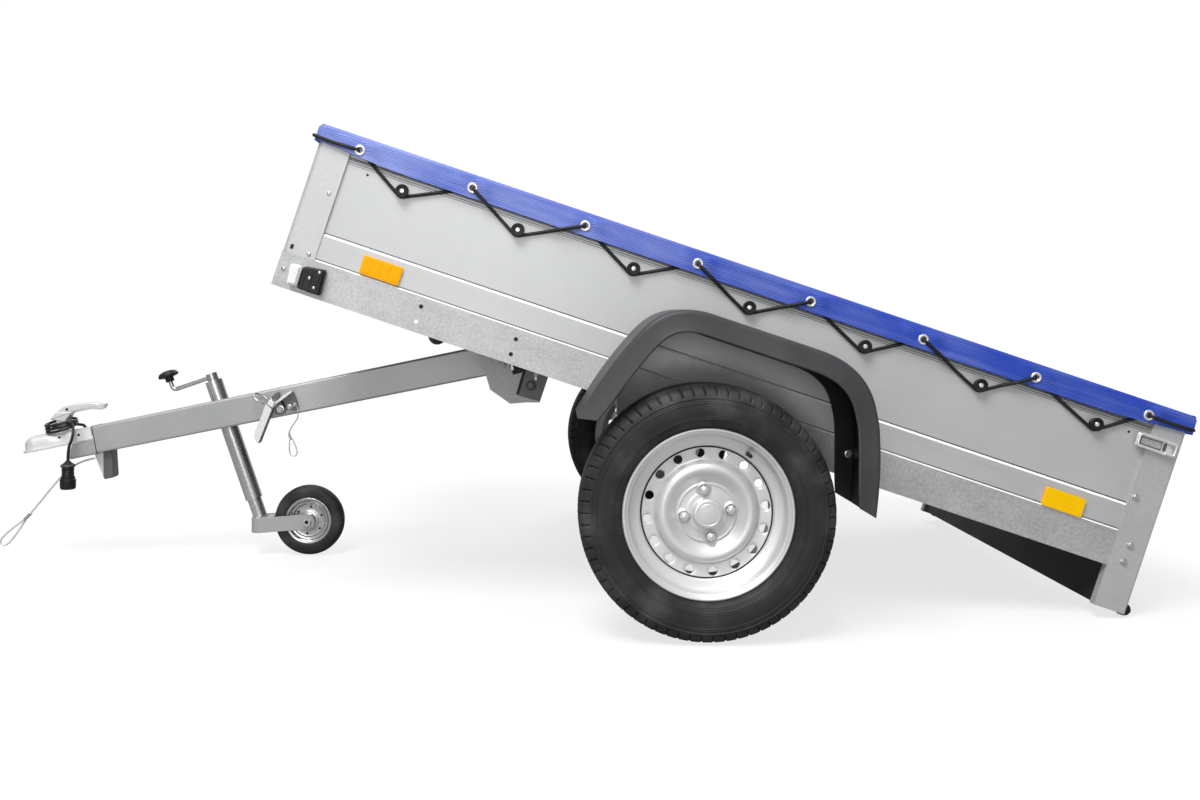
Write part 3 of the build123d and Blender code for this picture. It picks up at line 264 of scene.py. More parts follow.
class Piece:
    """Gathers grids and caps of points in a working frame's millimetres, then makes them one mesh."""

    def __init__(self, place):
        self.place = place
        self.points = []
        self.faces = []
        self.count = 0

    def grid(self, points, loop_rows=False, loop_columns=False):
        """Quads over points of shape (rows, columns, 3); a loop joins the last row or column to the first."""
        points = np.asarray(points, float)
        rows, columns = points.shape[:2]
        index = self.count + np.arange(rows * columns).reshape(rows, columns)
        self.points.append(points.reshape(-1, 3))
        self.count += rows * columns
        wide = np.vstack([index, index[:1]]) if loop_rows else index
        wide = np.hstack([wide, wide[:, :1]]) if loop_columns else wide
        quads = np.stack([wide[:-1, :-1], wide[1:, :-1], wide[1:, 1:], wide[:-1, 1:]], -1)
        self.faces.append(quads.reshape(-1, 4))
        return index

    def prism(self, rings):
        """Closed rings joined into a wall, with a face over the first ring and over the last."""
        index = self.grid(rings, loop_columns=True)
        self.faces += [index[:1], index[-1:]]

    def lathe(self, profile, centre=ORIGIN, axis="y", side=1, turns=48):
        """A profile of (radius, along) turned about an axis: centre + r cos t e1 + r sin t e2 + along e3."""
        profile = np.asarray(profile, float)
        first, second, third = np.array(AXES[axis], float)
        angle = np.linspace(0, 2 * np.pi, turns, endpoint=False)
        spoke = np.cos(angle)[:, None] * first + np.sin(angle)[:, None] * second
        rings = profile[:, :1, None] * spoke + side * profile[:, 1:, None] * third
        self.grid(np.asarray(centre, float) + rings, loop_columns=True)

    def plate(self, outline, start, stop, axis="y", bevel=1.0, centre=ORIGIN):
        """A closed outline given thickness from start to stop along an axis, both edges eased by a bevel."""
        outline = np.asarray(outline, float)
        low, high = sorted((start, stop))
        first, second, third = np.array(AXES[axis], float)
        small = inset(outline, bevel)
        flat = np.stack([small, outline, outline, small])
        height = np.array([low, low + bevel, high - bevel, high])[:, None, None]
        rings = flat[..., :1] * first + flat[..., 1:] * second + height * third
        self.prism(np.asarray(centre, float) + rings)

    def tube(self, path, radius, side_way=(0, 1, 0), sides=12):
        """A round section along a path: r cos t across + r sin t up, with up square to path and side_way."""
        path = np.asarray(path, float)
        ahead = heading(path)
        up = unit(np.cross(ahead, np.asarray(side_way, float)))
        across = np.cross(up, ahead)
        section = arc((0, 0), radius, 0, 360 - 360 / sides, sides)[None]
        self.prism(path[:, None] + section[..., :1] * across[:, None] + section[..., 1:] * up[:, None])

    def bolt(self, centre, axis="y", side=-1, size=8, height=6, turn=0.0):
        """A hexagon head on a washer, standing out from a face along an axis."""
        washer = [(0, 0), (1.3 * size, 0), (1.3 * size, 1.2), (1.2 * size, 1.6), (0, 1.6)]
        seat = 1.4
        self.lathe(washer, centre, axis, side, 28)
        self.plate(hexagon(size, turn), side * seat, side * (seat + height), axis, 0.8, centre)

    def rivet(self, centre, axis="y", side=-1, radius=6, height=3):
        """A low dome: radius cos t, height sin t."""
        angle = np.linspace(0, np.pi / 2, 7)
        self.lathe(np.stack([radius * np.cos(angle), height * np.sin(angle)], -1), centre, axis, side, 24)

    def make(self, name, finish, body, replaced=(), sharp=38):
        """One mesh of all that was gathered, shaded smooth up to the sharp angle in degrees."""
        points = self.place(np.concatenate(self.points))
        loops = np.concatenate([faces.ravel() for faces in self.faces])
        sizes = np.concatenate([np.full(len(faces), faces.shape[1]) for faces in self.faces])
        mesh = bpy.data.meshes.new(name)
        mesh.vertices.add(len(points))
        mesh.vertices.foreach_set("co", points.astype(np.float32).ravel())
        mesh.loops.add(len(loops))
        mesh.loops.foreach_set("vertex_index", loops.astype(np.int32))
        mesh.polygons.add(len(sizes))
        mesh.polygons.foreach_set("loop_start", (np.cumsum(sizes) - sizes).astype(np.int32))
        mesh.update(calc_edges=True)
        mesh.validate()
        outwards(mesh)
        mesh.shade_smooth()
        mesh.set_sharp_from_angle(angle=math.radians(sharp))
        return placed(name, mesh, finish, body, replaced)


def outwards(mesh):
    """Merges points that coincide and turns every closed shell's faces outwards."""
    shell = bmesh.new()
    shell.from_mesh(mesh)
    bmesh.ops.remove_doubles(shell, verts=shell.verts, dist=1e-6)
    bmesh.ops.recalc_face_normals(shell, faces=shell.faces)
    shell.to_mesh(mesh)
    shell.free()


def linked(name, data):
    """A new object in the scene."""
    obj = bpy.data.objects.new(name, data)
    bpy.context.scene.collection.objects.link(obj)
    return obj


def placed(name, data, finish, body, replaced=()):
    """A mesh or curve with its finish, riding a body and standing for the replaced nodes."""
    data.materials.append(finish.material)
    obj = linked(name, data)
    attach(obj, body)
    if replaced:
        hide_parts(*replaced)
    return obj


# Finishes


class Shade:
    """One output socket of a node; sums, differences and products of shades add Math nodes."""

    def __init__(self, nodes, socket):
        self.nodes = nodes
        self.socket = socket

    def maths(self, operation, first, second):
        """One Math node over two shades or numbers."""
        return self.nodes.node("ShaderNodeMath", {"operation": operation}, {0: first, 1: second})

    def __add__(self, other):
        return self.maths("ADD", self, other)

    def __sub__(self, other):
        return self.maths("SUBTRACT", self, other)

    def __mul__(self, other):
        return self.maths("MULTIPLY", self, other)


class Nodes:
    """Adds nodes to one node tree."""

    def __init__(self, tree):
        self.tree = tree

    def node(self, kind, settings=None, inputs=None, out=0):
        """One node with its settings, and its inputs linked to shades or set to values; gives one output."""
        node = self.tree.nodes.new(kind)
        for key, value in (settings or {}).items():
            setattr(node, key, value)
        for key, value in (inputs or {}).items():
            if isinstance(value, Shade):
                self.tree.links.new(value.socket, node.inputs[key])
            else:
                node.inputs[key].default_value = value
        return Shade(self, node.outputs[out])


# Painted shade under the mudguards: near the axle, in the side view, colours darken towards this grey
ARCH_SHADE_NEAR = 0.29
ARCH_SHADE_FAR = 0.352
ARCH_SHADE_SHARE = 0.72
ARCH_SHADE_COLOUR = (0.06, 0.06, 0.06)


class Finish(Nodes):
    """A procedural finish on one shader, patterned on Object coordinates, which are row-frame metres."""

    def __init__(self, name, slot=None, tilt=0.0, **fixed):
        self.material = bpy.data.materials.new(name)
        self.material.use_nodes = True
        super().__init__(self.material.node_tree)
        self.slot = slot
        self.shader = self.tree.nodes["Principled BSDF"]
        for socket, value in fixed.items():
            self.shader.inputs[socket.replace("_", " ")].default_value = value
        self.spot = self.node("ShaderNodeTexCoord", out="Object")
        if tilt:
            turned = {"Vector": self.spot, "Rotation": (0, -tilt, 0)}
            self.spot = self.node("ShaderNodeMapping", inputs=turned)

    def noise(self, scale, detail=3.0, stretch=(1, 1, 1)):
        """Cloudy values about 0.5; a larger stretch packs the pattern closer along that axis."""
        where = self.node("ShaderNodeMapping", inputs={"Vector": self.spot, "Scale": stretch})
        return self.node("ShaderNodeTexNoise", inputs={"Vector": where, "Scale": scale, "Detail": detail})

    def flakes(self, scale):
        """One random value for each crystal of a cell pattern."""
        cells = self.node("ShaderNodeTexVoronoi", inputs={"Vector": self.spot, "Scale": scale}, out="Color")
        return self.node("ShaderNodeSeparateColor", inputs={"Color": cells})

    def along(self, axis):
        """The coordinate along x, y or z, in metres."""
        return self.node("ShaderNodeSeparateXYZ", inputs={"Vector": self.spot}, out=axis)

    def wave(self, value, pitch):
        """0 to 1 and back over each pitch of a coordinate."""
        swing = self.node("ShaderNodeMath", {"operation": "SINE"}, {0: value * (2 * math.pi / pitch)})
        return swing * 0.5 + 0.5

    def between(self, value, low, high, start=0.0, stop=1.0):
        """Carries low..high smoothly to start..stop, held at both ends."""
        levels = {"Value": value, "From Min": low, "From Max": high, "To Min": start, "To Max": stop}
        return self.node("ShaderNodeMapRange", {"interpolation_type": "SMOOTHSTEP"}, levels)

    def blend(self, share, first, second):
        """A colour between two, by share."""
        inputs = {"Factor": share, 6: rgba(first), 7: rgba(second)}
        return self.node("ShaderNodeMix", {"data_type": "RGBA"}, inputs, out=2)

    def colour(self, share, first, second):
        self.feed("Base Color", self.blend(share, first, second))

    def arch_shaded_colour(self, share, first, second):
        """A colour darkened as painted shade under the mudguards, by distance from the axle in the side view.
        """
        spot = self.node("ShaderNodeTexCoord", out="Object")
        flat = self.node("ShaderNodeMapping", inputs={"Vector": spot, "Scale": (1, 0, 1)})
        hub = (axle_place[0], 0, axle_place[2])
        away = self.node("ShaderNodeVectorMath", {"operation": "DISTANCE"}, {0: flat, 1: hub}, out="Value")
        arch_shade = self.between(away + self.noise(30) * 0.02, ARCH_SHADE_NEAR, ARCH_SHADE_FAR, ARCH_SHADE_SHARE, 0)
        self.colour(arch_shade, self.blend(share, first, second), ARCH_SHADE_COLOUR)

    def rough(self, value):
        self.feed("Roughness", value)

    def relief(self, height, depth, strength=1.0):
        """Bump of the given depth in metres."""
        inputs = {"Height": height, "Distance": depth, "Strength": strength}
        self.feed("Normal", self.node("ShaderNodeBump", inputs=inputs, out="Normal"))

    def feed(self, socket, value):
        """Links a shade to one of the shader's inputs."""
        self.tree.links.new(value.socket, self.shader.inputs[socket])


def rgba(colour):
    """A plain colour with its alpha; a shade as it is."""
    return colour if isinstance(colour, Shade) else (*colour, 1.0)


def spangled_steel(name, dark, light, scale=260, metal=0.45, tilt=0.0):
    """Hot-dip zinc: small crystals of nearly one grey over a cloudy, dulled ground with rubbed streaks."""
    finish = Finish(name, "galvanised", tilt, Metallic=metal)
    crystal = finish.flakes(scale)
    fine = finish.flakes(2.7 * scale)
    cloud = finish.noise(7, 5)
    streak = finish.noise(38, 4, (0.35, 1, 1))
    share = crystal * 0.28 + fine * 0.26 + cloud * 0.5 + streak * 0.3
    # The colour is darkened near the wheels as painted shade under the mudguards.
    finish.arch_shaded_colour(finish.between(share, 0.35, 1.05), dark, light)
    finish.rough(crystal * 0.10 + cloud * 0.2 + 0.30)
    finish.relief(crystal * 0.6 + finish.noise(60) * 0.5, 0.00010)
    return finish


def smooth_steel(name, slot, dark, light, rough=0.3, metal=0.7, tilt=0.0, grain=(1, 1, 1)):
    """Rolled or plated steel: an even grey with a faint cloud, fine grain and rubbed specks."""
    finish = Finish(name, slot, tilt, Metallic=metal)
    cloud = finish.noise(3.5, 4)
    fine = finish.noise(420, 2, grain)
    # Sheet steel is darkened near the wheels as painted shade under the mudguards.
    paint = finish.arch_shaded_colour if slot == "sheet_steel" else finish.colour
    paint(finish.between(cloud * 0.7 + fine * 0.3, 0.3, 0.7), dark, light)
    finish.rough(cloud * 0.16 + fine * 0.12 + rough - 0.12)
    finish.relief(fine + cloud * 2, 0.00003)
    return finish


def moulded(name, slot, dark, light, rough, grain=900, depth=0.00008, coat=0.0):
    """Moulded plastic or rubber: fine grain, a few paler scuffs."""
    finish = Finish(name, slot, Coat_Weight=coat, IOR=1.48, Specular_IOR_Level=0.3)
    fine = finish.noise(grain, 2)
    cloud = finish.noise(7, 4)
    finish.colour(finish.between(cloud * 0.8 + fine * 0.2, 0.35, 0.72), dark, light)
    finish.rough(cloud * 0.16 + fine * 0.1 + rough - 0.13)
    finish.relief(fine, depth)
    return finish


def lens(name, slot, deep, bright, cell, tilt=0.0):
    """Clear moulded lens over small prisms: a lattice of cells lighter at their middles."""
    finish = Finish(name, slot, tilt, Roughness=0.28, IOR=1.5, Specular_IOR_Level=0.1)
    lattice = finish.wave(finish.along("X"), cell) * finish.wave(finish.along("Z"), cell)
    lattice = lattice + finish.wave(finish.along("Y"), cell) * 0.4
    finish.colour(finish.between(lattice + finish.noise(50) * 0.3, 0.1, 1.1), deep, bright)
    finish.relief(lattice, 0.0006, 0.6)
    return finish


def cover_cloth():
    """Coated blue sheet: fine lengthwise ribs, pale and deep patches, paler towards the front as painted
    light.
    """
    finish = Finish("cover_cloth", "cover_fabric", bed_tilt, IOR=1.46, Coat_Roughness=0.35)
    ribs = finish.wave(finish.along("Z") + finish.along("Y"), 0.0052)
    warp = finish.wave(finish.along("X"), 0.0022)
    weave = warp * finish.wave(finish.along("Z") - finish.along("Y"), 0.0022)
    patch = finish.noise(6.5, 2, (1, 1, 1.6))
    streak = finish.noise(22, 3, (0.2, 1, 3))
    # Painted light: paler towards the front, deeper towards the back.
    front = finish.between(finish.along("X"), -0.75, 0.75, 0.14, -0.16)
    share = finish.between(patch * 0.45 + streak * 0.45 + ribs * 0.14 + front, 0.24, 0.88)
    finish.colour(share, (0.010, 0.050, 0.41), (0.20, 0.255, 0.58))
    finish.rough(patch * 0.2 + ribs * 0.08 + 0.36)
    finish.relief(ribs + weave * 0.15 + finish.noise(35, 3) * 0.5, 0.0004)
    return finish


def tyre_rubber(name, slot):
    """Road rubber: near black, with a faint dusty bloom in a cloud."""
    finish = Finish(name, slot, IOR=1.5, Specular_IOR_Level=0.28)
    cloud = finish.noise(14, 5)
    fine = finish.noise(600, 2)
    dusty = finish.between(cloud * 0.7 + fine * 0.3, 0.42, 0.75)
    finish.colour(dusty, (0.017, 0.017, 0.0175), (0.070, 0.070, 0.071))
    finish.rough(cloud * 0.2 + fine * 0.1 + 0.45)
    finish.relief(fine, 0.0001)
    return finish


def plywood():
    """Film-faced board: brown, with a fine wire pattern pressed in."""
    finish = Finish("floor_board", "floor_board", bed_tilt, Coat_Weight=0.1)
    grid = finish.wave(finish.along("X"), 0.004) * finish.wave(finish.along("Y"), 0.004)
    cloud = finish.noise(6, 5, (0.4, 2, 1))
    finish.colour(finish.between(cloud, 0.3, 0.7), (0.07, 0.035, 0.018), (0.16, 0.085, 0.045))
    finish.rough(cloud * 0.3 + 0.35)
    finish.relief(grid, 0.0003)
    return finish


sill_steel = spangled_steel("sill_steel", (0.355, 0.36, 0.365), (0.56, 0.565, 0.57), 270, 0.4, bed_tilt)
post_steel = spangled_steel("post_steel", (0.47, 0.475, 0.48), (0.56, 0.565, 0.57), 300, 0.4, bed_tilt)
bar_steel = smooth_steel("bar_steel", "galvanised", (0.36, 0.365, 0.37), (0.46, 0.465, 0.47), 0.38, 0.5,
                         bar_tilt, (0.05, 1, 1))
hinge_steel = spangled_steel("hinge_steel", (0.38, 0.385, 0.39), (0.54, 0.545, 0.55), 330, 0.4)
wall_sheet = smooth_steel("wall_sheet", "sheet_steel", (0.47, 0.475, 0.48), (0.53, 0.535, 0.54), 0.42, 0.35,
                          bed_tilt, (0.03, 1, 1))
bright_zinc = smooth_steel("bright_zinc", "zinc", (0.42, 0.425, 0.43), (0.72, 0.72, 0.71), 0.26, 0.85)
tube_zinc = smooth_steel("tube_zinc", "zinc", (0.50, 0.505, 0.51), (0.64, 0.64, 0.64), 0.26, 0.9, jockey_tilt)
wheel_paint = smooth_steel("wheel_paint", "wheel_silver", (0.64, 0.645, 0.65), (0.72, 0.725, 0.73), 0.40, 0.6)
# Painted shade: a darkened steel for faces in shadow, recesses and creases
painted_shade_steel = smooth_steel("painted_shade_steel", "galvanised", (0.11, 0.112, 0.115), (0.17, 0.172, 0.175), 0.42, 0.5)
pressed_zinc = smooth_steel("pressed_zinc", "zinc", (0.76, 0.765, 0.77), (0.88, 0.88, 0.88), 0.34, 0.55)
# Painted highlight: a near-white copy of the sheet for fold faces that catch the light
painted_fold_highlight = smooth_steel("painted_fold_highlight", "sheet_steel", (0.9, 0.9, 0.9), (0.96, 0.96, 0.96), 0.5, 0.0, bed_tilt)
brass = smooth_steel("eyelet_brass", "zinc", (0.36, 0.24, 0.09), (0.62, 0.45, 0.20), 0.3, 0.9)
pale_ring = smooth_steel("eyelet_nickel", "zinc", (0.72, 0.72, 0.71), (0.88, 0.88, 0.87), 0.24, 0.6)
black_plastic = moulded("black_plastic", "black_plastic", (0.008, 0.008, 0.0085), (0.022, 0.022, 0.023), 0.45)
grey_plastic = moulded("fender_plastic", "fender_plastic", (0.045, 0.046, 0.048), (0.068, 0.069, 0.072), 0.46,
                       500, 0.00012)
cord_rubber = moulded("cord_rubber", "rubber", (0.008, 0.008, 0.0085), (0.022, 0.022, 0.023), 0.55,
                      1500, 0.0002)
lead_rubber = moulded("lead_rubber", "rubber", (0.010, 0.010, 0.0105), (0.032, 0.032, 0.033), 0.3,
                      1500, 0.00005)
buffer_rubber = moulded("buffer_rubber", "rubber", (0.010, 0.010, 0.010), (0.026, 0.026, 0.026), 0.6)
plug_ring = moulded("plug_ring", "black_plastic", (0.06, 0.06, 0.062), (0.14, 0.14, 0.145), 0.45)
road_rubber = tyre_rubber("road_rubber", "tyre")
cover_blue = cover_cloth()
floor_film = plywood()
yellow = lens("yellow_lens", "amber_lens", (0.86, 0.44, 0.0), (1.0, 0.62, 0.0), 0.0046, bed_tilt)
amber = lens("amber_lens", "amber_lens", (0.82, 0.29, 0.0), (1.0, 0.47, 0.0), 0.0046, bed_tilt)
red_lens = lens("red_lens", "red_lens", (0.28, 0.006, 0.006), (0.62, 0.03, 0.02), 0.005, bed_tilt)
clear_lens = lens("clear_lens", "clear_lens", (0.66, 0.67, 0.68), (0.92, 0.93, 0.94), 0.005, bed_tilt)
plate_white = moulded("plate_white", "plate_white", (0.70, 0.70, 0.68), (0.82, 0.82, 0.80), 0.3,
                      300, 0.00005, 0.3)

NODE_FINISHES = {
    sill_steel: "sills cross_members axle_beam swing_arms",
    post_steel: "front_posts rear_posts",
    hinge_steel: "pivot_bolt hinge_cheeks hinge_pins tailgate_hinges drawbar_foot tip_lock jockey_clamp "
                 "jockey_fork",
    bar_steel: "drawbar_tube",
    wall_sheet: "side_panels front_panel tailgate_panel",
    bright_zinc: "coupling_head coupling_handle tip_lock_lever jockey_crank jockey_axle latches",
    tube_zinc: "jockey_outer_tube jockey_inner_tube jockey_rim",
    black_plastic: "jockey_knob front_lamp_bases lamp_board",
    floor_film: "floor",
    buffer_rubber: "rubber_buffers",
    amber: "side_reflectors",
    red_lens: "rear_lamps",
    clear_lens: "front_lamp_lenses",
    plate_white: "number_plate",
}
for finish, names in NODE_FINISHES.items():
    for name in names.split():
        mesh = frame["nodes"][name].data
        mesh.materials.clear()
        mesh.materials.append(finish.material)


# Cover: a flat sheet with a skirt, laced down with elastic cord


def eyelet_places():
    """Side x places of the eyelets, front to back."""
    return EYELET_FIRST + EYELET_PITCH * np.arange(EYELETS)


def hem_height(along):
    """The skirt's lower edge: level, drawn up towards both ends by the corner lacing."""
    return HEM + 13 * bell(along, 120) + 11 * bell(BED_LENGTH - along, 120)


def skirt_swell(along, height, marks):
    """How far the skirt stands out: two slow waves, and a pulled crease above and behind each eyelet."""
    down = np.clip((COVER_TOP - height) / SKIRT, 0, 1)
    swell = 1.4 * down * (1 + np.sin(along / 61) * np.sin(along / 143 + 1))
    for mark in marks:
        gap = along - mark
        crease = bell(gap - 30 + 0.5 * (height - EYELET_Z), 13) * bell(height - EYELET_Z - 13, 15)
        fold = bell(gap + 26 + 0.6 * (height - EYELET_Z), 16) * bell(height - EYELET_Z - 8, 16)
        near = bell(np.hypot(gap, height - EYELET_Z), 17)
        swell = swell * (1 - near) + 4.2 * crease + 2.4 * fold - 2.0 * bell(gap - 55, 22) * down
    return np.maximum(swell, -1.5)


CORNER_REACH = 16
TOP_SAG = 13
TOP_RIPPLE = 2.2
EDGE_ROLL = 8
EDGE_ROWS = 6
SKIRT_ROWS = 26
HEM_FALL = (1, 1, 0.97, 0.9)
HEM_INWARD = (-1.2, 1.2, 2.2, 2.4)


def skirt(along, hem, marks):
    """The skirt's heights and how far out they stand: rolled top edge, swelling drop and folded hem."""
    roll = np.linspace(0, np.pi / 2, EDGE_ROWS)
    fall = np.concatenate([np.zeros(EDGE_ROWS), np.linspace(0, 1, SKIRT_ROWS) ** 0.9, HEM_FALL])
    level = np.full(SKIRT_ROWS + len(HEM_FALL), -EDGE_ROLL)
    crown = np.concatenate([EDGE_ROLL * np.cos(roll) - EDGE_ROLL, level])
    inward = np.concatenate([EDGE_ROLL + 2 - EDGE_ROLL * np.sin(roll), np.zeros(SKIRT_ROWS), HEM_INWARD])
    height = COVER_TOP + crown - fall * (COVER_TOP - EDGE_ROLL - hem)
    return height, skirt_swell(along, height, marks) * (fall > 0) - inward


def cover_sheet():
    """Top: a shallow sag on a grid. Skirt: its profile carried round three sides."""
    piece = Piece(bed)
    corners = [(COVER_BACK, -COVER_HALF), (COVER_FRONT, -COVER_HALF), (COVER_FRONT, COVER_HALF),
               (COVER_BACK, COVER_HALF)]
    plan = resampled(rounded(corners, CORNER_REACH, 8), 760)
    ahead = heading(plan)
    out = np.stack([ahead[:, 1], -ahead[:, 0]], -1)
    out = out * np.sign((out * (plan - (BED_LENGTH / 2, 0))).sum(1, keepdims=True))
    side = np.abs(out[:, 1:]) > 0.7
    along = np.where(side, plan[:, :1], plan[:, 1:])
    hem = np.where(side, hem_height(plan[:, :1]), hem_height(0))
    height, side_stand = skirt(along, hem, eyelet_places())
    front_stand = skirt(along, hem, END_EYELETS)[1]
    flat = plan[:, None] + out[:, None] * np.where(side, side_stand, front_stand)[..., None]
    piece.grid(np.concatenate([flat, height[..., None]], -1))
    x = np.linspace(COVER_FRONT + 7, COVER_BACK, 130)[:, None]
    y = np.linspace(-COVER_HALF + 7, COVER_HALF - 7, 90)[None]
    u = (x - COVER_FRONT) / (COVER_BACK - COVER_FRONT) * 2 - 1
    v = y / COVER_HALF
    ripple = TOP_RIPPLE * np.sin(x / 190) * np.sin(y / 140) * (1 - v**2) * (1 - u**6)
    piece.grid(spots(x, y, COVER_TOP - 0.6 - TOP_SAG * (1 - u**4) * (1 - v**4) - ripple))
    obj = piece.make("cover_cloth", cover_blue, "bed", ("cover_sheet",), 60)


def rear_flap():
    """Back skirt: the same profile across the back."""
    piece = Piece(bed)
    y = np.linspace(-COVER_HALF + 2, COVER_HALF - 2, 260)[:, None]
    height, stand = skirt(y, hem_height(BED_LENGTH), END_EYELETS)
    piece.grid(spots(FLAP_X + stand, y, height))
    obj = piece.make("cover_flap", cover_blue, "bed", ("cover_rear_flap",), 60)
    return obj


def eyelets():
    """Pale pressed rings with a brass throat, proud of the skirt, on all four sides."""
    rings, throats, rear = Piece(bed), Piece(bed), Piece(bed)
    proud = 0.6
    rim = np.concatenate([arc((9.6, 0.6), 2.9, 200, -20, 9), [(6.6, -1.2)]])
    throat = [(7.2, 1.6), (6.4, 2.2), (5.4, 1.2), (5.2, -2.0)]
    out = COVER_HALF + proud
    places = [((x, side * out, EYELET_Z), "y", side) for x in eyelet_places() for side in SIDES]
    places += [((COVER_FRONT - proud, y, EYELET_Z), "x", -1) for y in END_EYELETS]
    for place in places:
        rings.lathe(rim, *place, 30)
        throats.lathe(throat, *place, 24)
    for y in END_EYELETS:
        rear.lathe(rim, (FLAP_X + proud, y, EYELET_Z), "x", 1, 30)
    rings.make("eyelet_rings", pale_ring, "bed")
    throats.make("eyelet_throats", brass, "bed")
    return rear.make("rear_eyelet_rings", pale_ring, "bed")


LACE_STEPS = 90
LACE_STAND = CORD_RADIUS + 0.8


def laced(start, knob, stop, behind, over, tucked=False):
    """Cord as (along, height): straight from an eyelet to a knob, round under its groove, up to the next one.

    Gives the line and how far out it stands: tucked behind the skirt, or climbing over its hem.
    """
    ends = np.array([(start, EYELET_Z), (stop, EYELET_Z)])
    spot = np.array([knob, KNOB_Z])
    runs = np.abs(ends - spot)
    lean = np.degrees(np.arctan2(runs[:, 1], runs[:, 0]))
    under = arc(spot, KNOB_GROOVE + CORD_RADIUS, 270 - lean[0], 270 + lean[1], 9)
    line = resampled(np.concatenate([ends[:1], under, ends[1:]]), LACE_STEPS)
    if tucked:
        return line, np.full(LACE_STEPS, behind)
    climb = np.clip((line[:, 1] - KNOB_Z - 12) / 26, 0, 1)
    step = np.arange(LACE_STEPS)
    from_end = np.minimum(step, LACE_STEPS - 1 - step)
    return line, behind + (over - behind) * climb * climb * (3 - 2 * climb) - 6 * bell(from_end, 1.2)


def lacing():
    """Elastic cord laced along the sides and front; on the sides every second span lies behind the skirt."""
    piece = Piece(bed)
    over = COVER_HALF + LACE_STAND
    behind = PANEL_FACE + CORD_RADIUS + 0.5
    places = eyelet_places()
    for index in range(KNOBS):
        knob = KNOB_FIRST + KNOB_PITCH * index
        line, stand = laced(places[index], knob, places[index + 1], behind, over, index % 2 == 0)
        for side in SIDES:
            piece.tube(spots(line[:, 0], side * stand, line[:, 1]), CORD_RADIUS)
    t = np.linspace(0, 1, 20)
    for side in SIDES:
        for start, stop in ((places[0], COVER_FRONT - 3), (places[-1], FLAP_X)):
            y = side * (over - 5 * bell(t, 0.08) - 6 * np.clip((t - 0.86) / 0.14, 0, 1) ** 2)
            piece.tube(spots(start + (stop - start) * t, y, EYELET_Z - 2 * np.sin(np.pi * t)), CORD_RADIUS)
    over = LACE_STAND - COVER_FRONT
    for start, knob, stop in FRONT_LACING:
        line, stand = laced(start, knob, stop, 3, over)
        piece.tube(spots(-stand, line[:, 0], line[:, 1]), CORD_RADIUS, (1, 0, 0))
    for side in SIDES:
        y = side * (END_EYELETS[-1] + (COVER_HALF - 14 - END_EYELETS[-1]) * t)
        x = 5 * bell(t, 0.08) + 4 * bell(1 - t, 0.4) - over
        piece.tube(spots(x, y, EYELET_Z), CORD_RADIUS, (0, 0, 1))
    piece.make("lacing", cord_rubber, "bed", ("cover_cord",))

    tail = Piece(bed)
    y = np.linspace(-HALF_WIDTH + 32.5, HALF_WIDTH - 32.5, 60)
    tail.tube(spots(FLAP_X + 1 + LACE_STAND, y, EYELET_Z), CORD_RADIUS, (0, 0, 1))
    return tail.make("rear_lacing", cord_rubber, "bed", ("cover_cord_rear",))


def lacing_knobs():
    """Turned spools: flange, groove and dished head, each held by a pale screw."""
    spools, screws = Piece(bed), Piece(bed)
    head = arc((KNOB_RADIUS - 2, 15.5), 2, -70, 110, 7)
    neck = [(13, 0), (13, 1.5), (KNOB_GROOVE + 1, 4), (KNOB_GROOVE, 7), (KNOB_GROOVE + 1, 10.5)]
    spool = np.concatenate([neck, head, [(11.5, 17.2), (10.5, 14.5), (0, 14)]])
    screw = [(5.2, 14), (5.2, 15.6), (4.2, 16.6), (1.4, 16.9), (1.2, 15.9), (0, 15.9)]
    along = KNOB_FIRST + KNOB_PITCH * np.arange(KNOBS)
    places = [((x, side * PANEL_FACE, KNOB_Z), "y", side) for side in SIDES for x in along]
    places += [((4, knob, KNOB_Z), "x", -1) for start, knob, stop in FRONT_LACING]
    for place in places:
        spools.lathe(spool, *place, 32)
        screws.lathe(screw, *place, 20)
    spools.make("lacing_knobs", black_plastic, "bed", ("cord_knobs",))
    screws.make("knob_screws", pale_ring, "bed")


cover_sheet()
flap = rear_flap()
rear_rings = eyelets()
rear_lace = lacing()
lacing_knobs()

# The flap, its cord and its rings each get a mesh of their own
flap_top = bed((COVER_BACK, 0, COVER_TOP))
for soft in (flap, rear_lace, rear_rings):
    bed.turn((0, 0, 1))
    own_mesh(soft)

# Road wheels

TYRE_SECTION = [(168, 50), (176, 55), (183, 58.5), (192, 69), (206, 75.5), (224, TYRE_HALF), (243, 76),
                (256, 71), (264.5, 64), (269.5, 54), (272, 42), (TYRE_RADIUS, 22)]
SHOULDER_CUTS = 66


